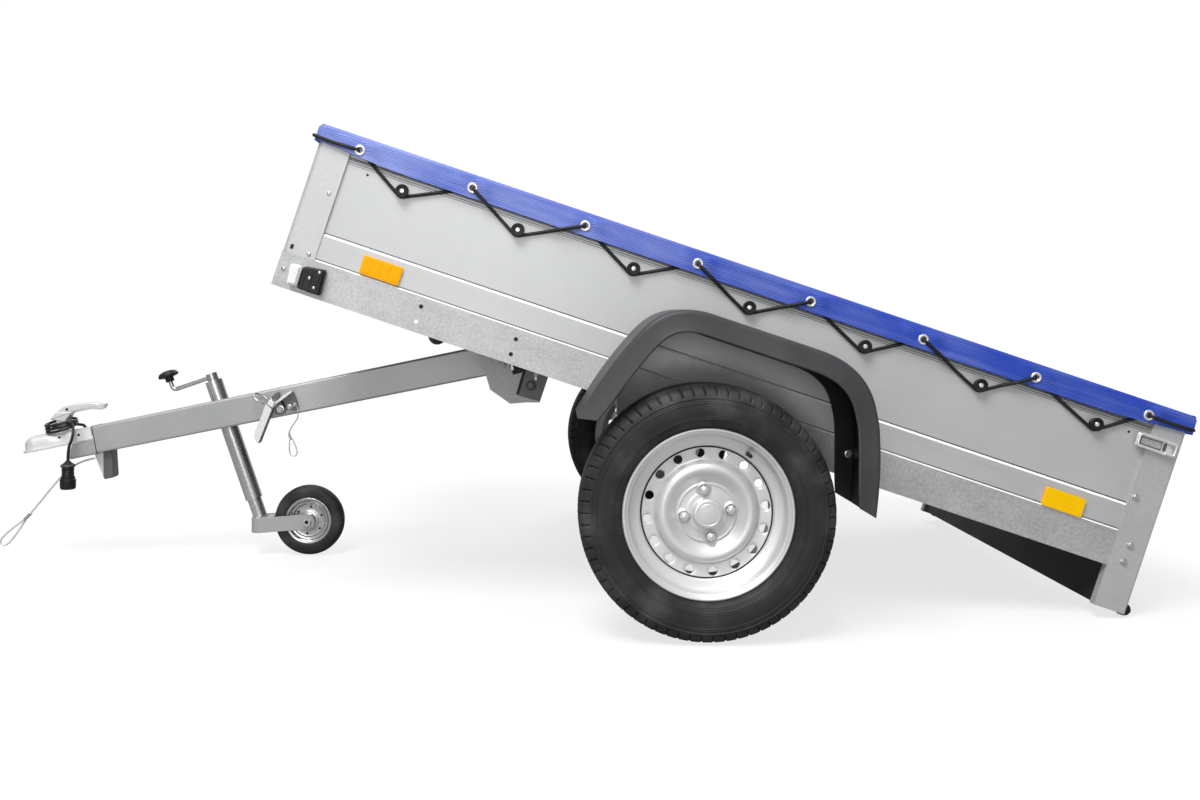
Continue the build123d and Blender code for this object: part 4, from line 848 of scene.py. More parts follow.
def tyre(name, side):
    """Section carried round the axle: four grooves, slanted shoulder cuts and fine cuts sink its tread."""
    half = smooth(TYRE_SECTION, 56)
    section = np.concatenate([half, half[::-1] * (1, -1)])
    angle = np.linspace(0, 2 * np.pi, 792, endpoint=False)[:, None]
    radius, out = section[None, :, 0], section[None, :, 1]
    wall = np.abs(out)
    tread = np.clip((radius - 262) / 7, 0, 1)
    grooves = sum(bell(out - middle, 3.2) ** 2 for middle in (-38, -13, 13, 38))
    phase = SHOULDER_CUTS * angle / (2 * np.pi) + np.sign(out) * 0.25 + wall * 0.006
    cut = bell(np.mod(phase, 1) - 0.5, 0.055)
    shoulder = np.clip((wall - 41) / 5, 0, 1) * np.clip((radius - 249) / 6, 0, 1)
    fine = bell(np.mod(2 * phase + 0.25 + out * 0.02, 1) - 0.5, 0.06) * np.clip((40 - wall) / 4, 0, 1)
    sunk = tread * np.clip(6.5 * grooves, 0, 6.5) + 4.2 * shoulder * cut + 2.0 * tread * fine
    across = side * (out - np.sign(out) * 0.6 * sunk * shoulder)
    piece = Piece(wheel_frame(name))
    piece.grid(around(radius - sunk, across, angle), loop_rows=True, loop_columns=True)
    piece.make(f"tyre_skin_{name}", road_rubber, f"wheel_{name}", (f"tyre_{name}",), 50)


WALL_RINGS = ((187, 1.5, 1.5), (193, 0.9, 0.7), (203, 1.1, 1.2), (207, 0.8, 0.8), (236, 1.0, 1.1),
              (240, 0.8, 0.8), (246.5, 1.8, 2.0))


def tyre_walls(name, side):
    """Sidewalls: the section plus raised rings, depth exp(-((r - ring) / width)^2), and a radial grain."""
    line = smooth(TYRE_SECTION, 500)
    radius = np.linspace(184, 250, 150)
    out = np.interp(radius, line[:, 0], line[:, 1]) + 0.35
    out = out + sum(depth * bell(radius - ring, width) for ring, width, depth in WALL_RINGS)
    out[[0, -1]] -= 2.5
    turn = np.linspace(0, 2 * np.pi, 360, endpoint=False)[None]
    ribs = 0.35 * (np.cos(180 * turn) > 0) * bell(radius - 242.5, 2.2)[:, None]
    piece = Piece(wheel_frame(name))
    for wall in (-side, side):
        piece.grid(around(radius[:, None], wall * (out[:, None] + ribs), turn), loop_columns=True)
    piece.make(f"tyre_walls_{name}", road_rubber, f"wheel_{name}", sharp=50)


VENTS = 16
VENT_RING = 126.5
VENT_RADIUS = 9.5
VALVE_RING = 151
BOLT_RING = 50


def vent_ring(piece, side):
    """Disc ring with round holes: in each sector the hole's circle is drawn out to the sector's edge,
    a unit square d / max(|dx|, |dy|) bent to angle and radius.

    Rows run over the back face, the hole's rolled wall and the front face.
    """
    way = arc((0, 0), 1, 0, 351, 40)
    square = way / np.abs(way).max(1, keepdims=True)
    half_sector = np.pi / VENTS
    edge_angle = square[:, 0] * half_sector
    edge_radius = VENT_RING + square[:, 1] * 12.5
    share = np.array([1, 0.5, 0.06, 0, 0, 0.05, 0.16, 0.5, 1])[:, None]
    depth = np.array([-4.5, -4.5, -4.5, -3.6, -1.6, -0.5, 0, 0, 0])[:, None]
    hole_angle = VENT_RADIUS * way[:, 0] / VENT_RING
    hole_radius = VENT_RING + VENT_RADIUS * way[:, 1]
    angle = hole_angle + (edge_angle - hole_angle) * share
    radius = hole_radius + (edge_radius - hole_radius) * share
    out = 24.2 + (radius - 114) * 0.12 + depth
    for sector in range(VENTS):
        turn = angle + 2 * half_sector * (sector + 0.27)
        piece.grid(around(radius, side * out, turn), loop_columns=True)


def rim(name, side):
    """Pressed wheel: rolled flange and stepped barrel, then the disc with its vents, bulge and hub seat."""
    place = wheel_frame(name)
    piece = Piece(place)
    flange = arc((178.5, 58.5), 3.6, -60, 150, 9)
    barrel = smooth([(174, 57.5), (168.5, 54), (166, 46), (163.5, 37), (156, 33), (149.5, 31), (144, 29),
                     (140.5, 24), (139.5, 8)], 40)
    inner = [(139.5, -20), (156, -36), (159, -55), (176, -58), (182, -61), (182, -58), (168, -52)]
    lip = np.concatenate([[(170, 48), (176, 55)], flange, barrel, inner])
    piece.lathe(lip, side=side, turns=120)
    face = smooth([(114, 24.2), (111.5, 26.5), (108.5, 33), (103, 40.5), (95, 44), (86, 42.5), (77, 37.5),
                   (70, 33.5), (65, 31.4), (63, 33.8), (60, 34.2), (58, 32.6), (46, 33), (40, 34),
                   (20, 34)], 90)
    behind = smooth([(20, 29), (58, 28), (63, 27.5), (70, 29), (77, 33), (86, 38), (95, 39.5), (102, 36),
                     (107, 27), (110, 22), (114, 19.7)], 30)
    piece.lathe(np.concatenate([face, behind]), side=side, turns=96)
    edge = [(139, 27.2), (140, 26.4), (140, 23.4), (139, 22.7)]
    piece.lathe(edge, side=side, turns=96)
    vent_ring(piece, side)
    piece.make(f"rim_{name}_pressed", wheel_paint, f"wheel_{name}", (f"rim_{name}",), 40)

    gap = Piece(place)
    gap.lathe([(138, 27.6), (141.8, 26.2), (141.8, 20), (138, 20)], side=side, turns=96)
    stem = [(4.6, 0), (4.6, 16), (3.4, 22), (3.4, 34), (4.2, 35), (4.2, 46), (3.2, 48), (0, 48)]
    gap.lathe(stem, around(VALVE_RING, side * 22, math.radians(55)), "y", side, 20)
    gap.make(f"valve_{name}", cord_rubber, f"wheel_{name}")

    hub = Piece(place)
    cap = np.concatenate([[(34, 33), (34, 36), (31.5, 37), (31, 49)], arc((28, 49), 3, 0, 80, 6),
                          [(25, 52.6), (24, 51.8), (21, 51.8), (20, 52.8), (8, 53.6), (0, 53.6)]])
    hub.lathe(cap, side=side, turns=64)
    seat = [(17, 33), (14.5, 36.5), (11.8, 37.6), (11, 36.6)]
    for turn in (8, 98, 188, 278):
        centre = around(BOLT_RING, 0, math.radians(turn))
        hub.lathe(seat, centre, "y", side, 28)
        hub.plate(hexagon(9.8, turn), side * 36, side * 47, "y", 1.2, centre)
        hub.rivet(centre + (0, side * 46.6, 0), "y", side, 6.5, 2.6)
    hub.lathe([(38, 16), (38, -72), (16, -72)], side=side, turns=40)
    hub.make(f"hub_{name}_dressed", wheel_paint, f"wheel_{name}", (f"hub_{name}",))


for name, side in (("left", -1), ("right", 1)):
    tyre(name, side)
    tyre_walls(name, side)
    rim(name, side)


# Mudguards


FENDER_REACHES = (0, 111, 132, 0)


def fender_path(depth):
    """The arch at a depth under its outer face: swelling legs, round shoulders, feet narrowed to a cut."""
    shoulder = FENDER_HALF - math.tan(FENDER_LEAN) * (FENDER_TOP - FENDER_BOTTOM)
    corners = [(-FENDER_HALF, FENDER_BOTTOM), (-shoulder, FENDER_TOP), (shoulder, FENDER_TOP),
               (FENDER_HALF, FENDER_BOTTOM)]
    line = resampled(rounded(corners, FENDER_REACHES, 24), 300)
    ahead = heading(line)
    inward = np.stack([ahead[:, 1], -ahead[:, 0]], -1)
    up = line[:, 1] - FENDER_BOTTOM
    swell = 6.5 * np.sin(np.pi * np.clip(up / 215, 0, 1))
    narrow = 1 - 0.28 * (1 - np.clip(up / 110, 0, 1)) ** 2
    line = line + inward * (depth * narrow - swell)[:, None]
    cut = FENDER_BOTTOM + 4 + 0.19 * depth
    front, back = line[:150], line[:149:-1]
    start = (np.interp(cut, front[:, 1], front[:, 0]), cut)
    stop = (np.interp(cut, back[:, 1], back[:, 0]), cut)
    whole = np.concatenate([[start], line[line[:, 1] > cut + 0.5], [stop]])
    return resampled(whole, 120) + (FENDER_X, 0)


def arches(name, section, finish, replaced=()):
    """A section of (depth under the arch, distance out) carried along the arch on both sides."""
    section = np.asarray(section, float)
    lines = np.stack([fender_path(depth) for depth in section[:, 0]], 1)
    piece = Piece(bed)
    for side in SIDES:
        piece.prism(spots(lines[..., 0], side * section[:, 1], lines[..., 1]))
    piece.make(name, finish, "bed", replaced, 45)


def fenders():
    """Mudguards with wall flange, skin, rolled edge and lip, and a black sheet under them as painted shade.
    """
    back = HALF_WIDTH + FENDER_SKIN
    flange = [(FENDER_BAND - 2, HALF_WIDTH), (0, HALF_WIDTH), (0, FENDER_FACE - 60)]
    roll = arc((11, FENDER_FACE - 11), 11, 180, 90, 9)
    lip = arc((FENDER_BAND - 3.4, FENDER_FACE - 1), 3.4, 140, -60, 10)
    inner = [(FENDER_BAND - 7, FENDER_FACE - 4.5), (14, FENDER_FACE - 4.5), (7, FENDER_FACE - 8),
             (4, FENDER_FACE - 15), (FENDER_SKIN, back), (FENDER_BAND - 2, back)]
    arches("mudguards", np.concatenate([flange, roll, lip, inner]), grey_plastic, ("fenders",))
    # Painted shade: a black sheet over the wall flange and the skin's underside.
    front = FENDER_FACE - 16
    shade_section = [(FENDER_BAND - 3, back + 0.2), (4.3, back + 0.2), (4.3, front), (5, front), (5, back + 1),
             (FENDER_BAND - 3, back + 1)]
    arches("mudguard_painted_shade", shade_section, black_plastic)


fenders()


# Cords: the wound lead with its plug, the safety cable and the lock's lanyard


def cord_curve(name, points, radius, finish, node_names):
    """A smooth line on the drawbar with the route's points as control points; gives it and its start."""
    curve = bpy.data.curves.new(name, "CURVE")
    curve.dimensions = "3D"
    line = curve.splines.new("NURBS")
    line.points.add(len(points) - 1)
    route = bar(points)
    line.points.foreach_set("co", np.hstack([route, np.ones((len(points), 1))]).ravel())
    line.order_u = 3
    line.use_endpoint_u = True
    line.resolution_u = 6
    curve.bevel_depth = radius * MM
    curve.bevel_resolution = 4
    curve.use_fill_caps = True
    return placed(name, curve, finish, "drawbar", node_names), tuple(route[0])


LEAD_RADIUS = 4
LEAD_END = np.array([18, -62, -41])


def lead_route():
    """From the sleeve's top into three turns stacked round the lug, higher on the far side, then the drop."""
    points = [(52, 10, 40), (48, 15, 46)]
    for turn in np.radians(np.arange(40, 1040, 30)):
        height = 38 + 8.8 * (turn - 0.7) / (2 * math.pi) + 8 * (1 + math.sin(turn))
        points.append((43 * math.cos(turn) - 6, 35 * math.sin(turn) - 3, height))
    upright = np.array([math.sin(-bar_tilt), 0, math.cos(-bar_tilt)])
    points += [(36, -32, 58), (45, -50, 42), (42, -61, 17), LEAD_END + upright * 34, LEAD_END]
    return np.array(points) + (LUG_X, 0, 0)


CABLE_RADIUS = 2.5
CABLE_ROUTE = [(0, 0, 0), (-30, 0, 0), (-64, -2, -9), (-98, -5, -30), (-132, -8, -57), (-166, -9, -86),
               (-196, -9, -110), (-224, -10, -129), (-250, -12, -141), (-276, -13, -155), (-298, -13, -170),
               (-297, -12, -183), (-284, -10, -188), (-266, -8, -175), (-247, -6, -157), (-231, -4, -140),
               (-214, -3, -122)]
WIRE_RADIUS = 1.5
WIRE_ROUTE = [(34.6, -16, -18), (36, -17, -36), (31, -18, -52), (19, -19, -64), (6, -20, -76), (-2, -20, -90),
              (-1, -21, -107), (-6, -22, -122), (-8.5, -22, -136), (-7, -22, -148), (2, -22, -154),
              (11, -21, -148), (12, -20, -136), (9, -18, -120), (4, -16, -103)]


def plug():
    """Hanging plug: soft boot, a grey collar, a waisted grip and a wider skirt with a ring line."""
    hang = WorkFrame(bar(LEAD_END + (LUG_X, 0, 0)), 0)
    body, ring = Piece(hang), Piece(hang)
    ribs = [(16.0 + 0.5 * math.cos(math.pi * step), -24 - 2.2 * step) for step in range(9)]
    profile = [(4.4, 1), (6, 0), (9, -4), (14, -8), (16, -20), *ribs, (16.6, -43), (18.6, -44.5), (18.6, -47),
               (17.6, -48), (20.6, -51), (21, -58), (20.6, -73), (19, -77), (16, -78), (14, -70), (0, -70)]
    body.lathe(profile, axis="z", turns=44)
    ring.lathe(arc((15.4, -13.5), 4.4, 0, 342, 16), axis="z", turns=44)
    return [body.make("lead_plug_body", black_plastic, "drawbar", ("lead_plug",)),
            ring.make("lead_plug_ring", plug_ring, "drawbar")]


def ferrule(name, start, stop, radius):
    """A crimped sleeve: r (1 - 0.12 sin^2 3 pi t) (1.55 cos a across + sin a up) along its line."""
    t = np.linspace(0, 1, 25)[:, None]
    ahead = unit((stop - start)[None])
    up = unit(np.cross(ahead, (0, 1, 0)))
    across = np.cross(up, ahead)
    waist = radius * (1 - 0.12 * np.sin(3 * np.pi * t) ** 2) * np.where((t < 0.03) | (t > 0.97), 0.86, 1)
    angle = np.linspace(0, 2 * np.pi, 20, endpoint=False)[:, None]
    ring = np.cos(angle) * across * 1.55 + np.sin(angle) * up
    piece = Piece(bar)
    piece.prism((start + (stop - start) * t)[:, None] + waist[..., None] * ring)
    return piece.make(name, bright_zinc, "drawbar")


plug_pieces = plug()
lead_nodes = ("lead_coil", "lead_drop")
lead, lead_exit = cord_curve("electric_lead", lead_route(), LEAD_RADIUS, lead_rubber, lead_nodes)

cable_points = np.array(CABLE_ROUTE) + EYE
cable, cable_exit = cord_curve("safety_rope", cable_points, CABLE_RADIUS, pale_ring, ("safety_cable",))
cable_crimp = ferrule("safety_crimp", cable_points[6] + (-4, 2.6, -3), cable_points[7] + (2, 3.2, 1), 4.6)

wire_points = np.array(WIRE_ROUTE) + (LOCK_X, -BAR_HALF, 0)
wire, wire_exit = cord_curve("lock_wire", wire_points, WIRE_RADIUS, bright_zinc, ("lock_lanyard",))
wire_crimp = ferrule("lock_crimp", wire_points[5] + (1, 2, 1), wire_points[6] + (2.5, 2.5, 0), 2.9)


# Small fittings: bolts, rivets and plates the solids leave out


def strip(piece, section):
    """A closed section of (out, z) drawn along x from post to post, on both sides."""
    out, z = np.transpose(section)
    for side in SIDES:
        piece.prism(spots([[POST_WIDTH], [BED_LENGTH - POST_WIDTH]], side * out, z))


FOLD_FACE = BAND_FACE + 0.5
# Painted shadow lines along the folds and under the cover: face, height and thickness
FOLD_SHADOW_LINES = ((PANEL_FACE, BAND_TOP + 5, 3), (BAND_FACE, SILL_HEIGHT + 3, 2.6), (PANEL_FACE, 325, 2.6),
              (PANEL_FACE, 320, 2), (PANEL_FACE, 315.5, 1.2))


def wall_folds():
    """Wall folds: two painted-highlight slanted edges under painted shadow lines; three such lines under the
    cover.
    """
    bright, plain, dark = Piece(bed), Piece(bed), Piece(bed)
    lower, upper = SILL_HEIGHT - 0.5, BAND_TOP
    # The slanted fold faces are near white as a painted highlight.
    strip(bright, [(PANEL_FACE + 0.2, upper + 5), (FOLD_FACE, upper + 0.5), (FOLD_FACE, upper),
                   (PANEL_FACE, upper)])
    strip(bright, [(BAND_FACE, lower + 3.5), (HALF_WIDTH + 0.6, lower + 1), (HALF_WIDTH + 0.6, lower),
                   (BAND_FACE, lower)])
    strip(plain, [(PANEL_FACE, upper), (FOLD_FACE, upper), (FOLD_FACE, upper - 16), (PANEL_FACE, upper - 16)])
    # Thin dark strips as painted shadow.
    for face, z, height in FOLD_SHADOW_LINES:
        strip(dark, [(face - 1, z), (face + 0.4, z), (face + 0.4, z + height), (face - 1, z + height)])
    bright.make("wall_folds", painted_fold_highlight, "bed", sharp=10)
    plain.make("wall_bands", wall_sheet, "bed", sharp=10)
    dark.make("wall_fold_shadow_lines", painted_shade_steel, "bed", sharp=10)


def fittings():
    """Bolts, rivets and holes by table, each as x, z and size in the bed frame."""
    bolts = Piece(bed)
    holes = Piece(bed)
    for side in SIDES:
        face = side * HALF_WIDTH
        for x, z, size in ((59, 237, 5), (60, 91, 5), (16, 42, 5.5)):
            bolts.rivet((x, face, z), "y", side, size, 2.6)
        for x, z in ((BED_LENGTH - 64, 167), (BED_LENGTH - 40, 59), (BED_LENGTH - 43, 19)):
            bolts.bolt((x, face, z), "y", side, 6.5, 4, turn=15)
        for x in (FENDER_X - 290, FENDER_X + 290):
            bolts.bolt((x, side * (HALF_WIDTH + FENDER_SKIN), 52), "y", side, 7, 4)
        # Black slot and small discs stand for holes as painted shade.
        slot = rounded([(-4, -6), (4, -6), (4, 6), (-4, 6)], 4, 4, True)
        holes.plate(slot, face - 0.4, face + 0.4, "y", 0.1, (18, 0, 96))
        holes.rivet((128, side * PANEL_FACE, 305), "y", side, 3, 0.4)
        holes.rivet((BED_LENGTH - 122, side * PANEL_FACE, 303), "y", side, 3, 0.4)
        for x, z in ((340, 60), (568, 58), (568, 22)):
            holes.rivet((x, side * (HALF_WIDTH - 2), z), "y", side, 6, 0.6)
        holes.rivet((393, side * 560, 16), "z", -1, 24, 30)
    hinge_bolts = Piece(bed)
    for x, z, size in ((543, -40, 8.5), (640, -37, 7)):
        for side in SIDES:
            hinge_bolts.bolt((x, side * HINGE_FACE, z), "y", side, size, 7, turn=12)
    hinge_bolts.make("hinge_bolts", hinge_steel, "bed")
    bolts.make("bed_bolts", bright_zinc, "bed")
    holes.make("bed_holes", black_plastic, "bed")


# The bracket and the gap plate are painted shade; each row: name, finish, near and far offset, outline
HINGE_PLATES = (
    ("hinge_bracket", painted_shade_steel, 0, 4, [(607, -31), (674, -28), (674, -103), (649, -105), (610, -107)]),
    ("hinge_gap", black_plastic, 0, 5, [(602, -31), (610, -31), (612, -104), (605, -106)]),
    ("hinge_hook", black_plastic, 0, 7, [(561, -32), (601, -30), (601, -43), (580, -57)]),
    ("hinge_stud", pressed_zinc, 7, 12, [(564, -32), (571, -32), (578, -43), (572, -47)]),
    ("hinge_pin_end", pressed_zinc, 4, 9, [(638, -43), (645, -42), (647, -51), (641, -52)]),
)


def hinge_dress():
    """Bracket, boss and a black gap as painted shade; rubber hook and studs on the outside of each hinge
    cheek.
    """
    for name, finish, low, high, outline in HINGE_PLATES:
        piece = Piece(bed)
        for side in SIDES:
            span = side * (HINGE_FACE + low), side * (HINGE_FACE + high)
            piece.plate(rounded(outline, 2, 3, True), *span, "y", 0.6)
        piece.make(name, finish, "bed")
    boss = Piece(bed)
    for side in SIDES:
        centre = (637, side * (HINGE_FACE + 4), -69)
        boss.lathe([(0, 1.2), (10, 1.2), (11.5, 0.4), (13, 1.4), (14.5, 0)], centre, "y", side, 32)
    boss.make("hinge_boss", painted_shade_steel, "bed")


LAMP_DEPTH = 22
LENS_DEPTH = 28
REFLECTOR = (228, 0, 109)
REFLECTOR_PITCH = 22.4
REAR_REFLECTOR = (BED_LENGTH - 216, 0, 104)
LAMP_BASE = rounded([(63, 11), (61, 60), (68, 64), (112, 70), (116, 10)], 5, 4, True)
LAMP_LENS = rounded([(38, 11), (32, 60), (60, 63), (62, 14)], 8, 5, True)


def lamps():
    """Front marker lamps with ribs and screws, and segmented side reflectors."""
    base, glass, screws, cells, rear = (Piece(bed) for count in range(5))
    cell = rounded([(-10.2, -18.6), (10.2, -18.6), (10.2, 18.6), (-10.2, 18.6)], 2, 3, True)
    whole = rounded([(-47, -21.5), (47, -21.5), (47, 21.5), (-47, 21.5)], 5, 4, True)
    for side in SIDES:
        face, band = side * HALF_WIDTH, side * BAND_FACE
        base.plate(LAMP_BASE, face, face + side * LAMP_DEPTH, "y", 4)
        for x in (72, 88, 104):
            rib = [(x - 2, 20), (x + 2, 20), (x + 1, 60), (x - 3, 60)]
            base.plate(rib, face + side * (LAMP_DEPTH - 2), face + side * (LAMP_DEPTH + 1.4), "y", 0.8)
        glass.plate(LAMP_LENS, face, face + side * LENS_DEPTH, "y", 6)
        for x, z in ((101, 60), (83, 41), (99, 23)):
            screws.rivet((x, face + side * (LAMP_DEPTH + 0.6), z), "y", side, 3.6, 1.4)
        for step in (-1.5, -0.5, 0.5, 1.5):
            centre = np.add(REFLECTOR, (REFLECTOR_PITCH * step, 0, 0))
            cells.plate(cell, band + side * 6.4, band + side * 8, "y", 0.9, centre)
        rear.plate(whole, band, band + side * 7.8, "y", 1.2, REAR_REFLECTOR)
    base.make("lamp_bases", black_plastic, "bed", ("front_lamp_bases",))
    glass.make("lamp_glasses", clear_lens, "bed", ("front_lamp_lenses",))
    screws.make("lamp_screws", bright_zinc, "bed")
    cells.make("reflector_cells", amber, "bed")
    rear.make("rear_reflector_faces", yellow, "bed")


LATCH = (BED_LENGTH - 59, 0, 294)
LATCH_BODY = rounded([(-46, -16), (46, -18), (46, 17), (-46, 16)], 5, 4, True)
LATCH_LOOP = rounded([(-44, -13), (44, -15), (44, 15), (-44, 14)], 6, 5, True)
LATCH_BOW = smooth([(20, 12), (36, 12), (40, 8), (40, -10), (36, -13), (20, -13)], 24)
LATCH_SLOTS = ([(-38, -9.5), (13, -10), (13, 10.5), (-38, 9.5)], [(16, -9), (24, -9), (24, 10), (16, 10)])
LATCH_WINDOW = rounded([(-36, -7), (11, -7.5), (11, 8), (-36, 7)], 3, 3, True)
BUFFER_Y = HALF_WIDTH - 32.5
BUFFER_Z = -86
BUFFER = [(12, -54), (12, -12), (14.5, -8), (15, 0), (14.2, 6), (12, 11), (7, 15.5), (0, 16.5)]


def latches():
    """Tailgate latches with a window, a wire frame and a bow, and fatter rear buffers."""
    windows, latch, slots, rubber = (Piece(bed) for count in range(4))
    frame_loop = np.concatenate([LATCH_LOOP, LATCH_LOOP[:2]])
    for side in SIDES:
        face = side * HALF_WIDTH
        latch.plate(LATCH_BODY, face, face + side * 4, "y", 1, LATCH)
        for loop, out, radius in ((frame_loop, 9, 3), (LATCH_BOW, 14, 2.4)):
            latch.tube(LATCH + spots(loop[:, 0], face + side * out, loop[:, 1]), radius, sides=10)
        # The slots are darkened as painted shade.
        for slot in LATCH_SLOTS:
            slots.plate(rounded(slot, 3, 3, True), face + side * 3.8, face + side * 4.6, "y", 0.2, LATCH)
        windows.plate(LATCH_WINDOW, face + side * 4.4, face + side * 5.4, "y", 0.2, LATCH)
        rubber.lathe(BUFFER, (BED_LENGTH + 8, side * BUFFER_Y, BUFFER_Z), "x", 1, 32)
    windows.make("latch_windows", sill_steel, "bed")
    latch.make("latch_frames", pressed_zinc, "bed", ("latches",))
    slots.make("latch_slots", painted_shade_steel, "bed")
    rubber.make("buffer_stubs", buffer_rubber, "bed", ("rubber_buffers",))


LAMP_CELLS = (("lamp_turn_cells", amber, 452, 522), ("lamp_stop_cells", red_lens, 372, 450),
              ("lamp_back_cells", clear_lens, 338, 370))
PLATE_EDGES = ((-262, 262, -88, -80), (-262, 262, -13, -5), (-262, -254, -88, -5), (254, 262, -88, -5))


def box(low, high, bottom, top):
    """A rectangle's corners."""
    return [(low, bottom), (high, bottom), (high, top), (low, top)]


def rear_dress():
    """Moulded cells on the rear lamps and a black frame round the blank plate."""
    face = BED_LENGTH - 18
    for name, finish, inner, outer in LAMP_CELLS:
        piece = Piece(bed)
        for side in SIDES:
            cell = box(*sorted((side * inner, side * outer)), -78, -15)
            piece.plate(rounded(cell, 4, 4, True), face - 1, face + 2.5, "x", 1.4)
        piece.make(name, finish, "bed")
    edging = Piece(bed)
    face = BED_LENGTH - 46
    for edge in PLATE_EDGES:
        edging.plate(box(*edge), face - 2, face + 2.2, "x", 0.8)
    edging.make("plate_frame", black_plastic, "bed")


wall_folds()
hinge_dress()
lamps()
latches()
rear_dress()
fittings()


# Coupling, foot and tipping lock on the drawbar


SOCKET = 25.3
NOSE_RADIUS = 42
DOME_HALF = 36


def coupling():
    """Pressed head: a flange with a ball socket under it, and a dome over it.

    Flange rows are drawn from the ball's centre out to the outline and back. The dome has
    y = w sign(sin t) |sin t|^0.75 and z = flange + h sqrt(cos t), with w and h falling to a half-round nose.
    """
    piece = Piece(bar)
    nose = arc((BALL_X, 0), NOSE_RADIUS, 90, 270, 40)
    tail = [(SLEEVE_X, -37), (SLEEVE_X + 6, -36), (SLEEVE_X + 6, 36), (SLEEVE_X, 37)]
    outline = resampled(np.concatenate([nose, tail, nose[:1]]), 97)[:-1]
    way = unit(outline - (BALL_X, 0))
    flange = HEAD_BOTTOM + 7

    def ring(radius, height):
        return np.column_stack([way * radius + (BALL_X, 0), np.full(len(way), height)])

    def edge(amount, height):
        return np.column_stack([inset(outline, amount), np.full(len(way), height)])

    rows = [ring(0.01, 33), ring(14, 32), ring(29, 20), ring(29, flange), edge(1.5, flange),
            edge(0, flange - 1.5), edge(0, HEAD_BOTTOM + 1.5), edge(1.5, HEAD_BOTTOM),
            ring(SOCKET, HEAD_BOTTOM), ring(SOCKET, 14), ring(21, 22), ring(12, 26.5), ring(0.01, 28)]
    piece.grid(np.stack(rows), loop_columns=True)

    front = BALL_X - DOME_HALF * np.cos(np.linspace(0, np.pi / 2, 16))
    place = np.concatenate([front, np.linspace(BALL_X, SLEEVE_X + 8, 40)[1:]])[:, None]
    before = np.clip((BALL_X - place) / DOME_HALF, 0, 1)
    after = np.maximum(place - BALL_X, 0)
    width = DOME_HALF * np.sqrt(1 - before**2) - 0.045 * after
    crown = (HEAD_TOP - flange) * (1 - before**2) ** 0.4 - 0.06 * np.maximum(after - 30, 0)
    angle = np.linspace(-np.pi / 2, np.pi / 2, 61)[None]
    across = width * np.sign(np.sin(angle)) * np.abs(np.sin(angle)) ** 0.75
    height = flange + crown * np.sqrt(np.maximum(np.cos(angle), 0))
    dent = 4.5 * bell(np.hypot((place - BAR_FRONT + 95) / 21, (height - 25) / 8), 0.9)
    across = across - np.sign(across) * dent * (np.abs(across) > 14)
    piece.prism(spots(place, across, height))

    lower = Piece(bar)
    stations = np.array([(SLEEVE_X + 2, 0.9), (SLEEVE_X + 8, 1), (BAR_FRONT - 4, 1), (BAR_FRONT + 4, 1)])
    halves = (piece, [(20, 38), (31, 32), (40.5, 5), (38, 0)]), (lower, [(37, 1), (37, -36), (33, -40)])
    for part, half in halves:
        section = np.array(half + [(-y, z) for y, z in reversed(half)])
        lean = 18 * np.clip(-section[:, 1] / 36, 0, 1)[None] * np.array([1, 1, 0.1, 0])[:, None]
        scale = stations[:, 1:]
        part.prism(spots(stations[:, :1] - lean, scale * section[:, 0], scale * section[:, 1]))
    lower.make("coupling_skirt", bar_steel, "drawbar")
    neck = [(-14, HEAD_TOP - 6), (14, HEAD_TOP - 6), (12, 70), (-14, 76)]
    block = rounded([(-29, 79), (-10, 96), (33, 88), (10, 64)], 4, 4, True)
    piece.plate(neck, -14, 14, "y", 1, (LUG_X, 0, 0))
    piece.plate(block, -17, 17, "y", 2.5, (LUG_X, 0, 0))
    piece.make("coupling_pressing", pressed_zinc, "drawbar", ("coupling_head",))

    grip = Piece(bar)
    outline = [(-14, 8), (-4, 19), (12, 27), (30, 29), (60, 27), (92, 23), (115, 15), (129, 17), (127, 5),
               (113, -3), (96, 5), (60, 6), (24, 6)]
    grip.plate(rounded(outline, 9, 5, True), -13, 13, "y", 3, (LUG_X, 0, LUG_TOP))
    grip.make("coupling_grip", pressed_zinc, "drawbar", ("coupling_handle",))

    # Painted shade: a black ring in the gap between sleeve and bar, and black discs for holes.
    dark = Piece(bar)
    painted_gap_shade = rounded(box(-39, 39, -39, 39), 5, 4, True)
    dark.plate(painted_gap_shade, BAR_FRONT + 4, BAR_FRONT + 6, "x", 0.3)
    for side in SIDES:
        dark.rivet((BAR_FRONT - 93, side * 26.5, 25), "y", side, 5, 1.6)
        dark.rivet((LUG_X + 21, side * 13, LUG_TOP + 18), "y", side, 4, 0.6)
        dark.rivet((BAR_FRONT - 36, side * 34.5, 22), "y", side, 4, 2.4)
    dark.make("coupling_holes", black_plastic, "drawbar")


def foot():
    """Prop under the drawbar's front: a folded plate darkened as painted shade, with a bright web before it.
    """
    top, bottom = -BAR_HALF, -BAR_HALF - 76
    plate = [(-1, top), (24, top - 1), (14, bottom + 4), (10, bottom), (-12, bottom), (-15, bottom + 5)]
    web = [(-32, top), (1, top), (-13, bottom + 4), (-20, bottom + 8)]
    piece = Piece(bar)
    piece.plate(plate, -20, 20, "y", 2, (FOOT_X - 9, 0, 0))
    piece.make("foot_plate", painted_shade_steel, "drawbar", ("drawbar_foot",))
    rib = Piece(bar)
    rib.plate(web, -7, 7, "y", 1, (FOOT_X - 9, 0, 0))
    rib.make("foot_web", pressed_zinc, "drawbar")


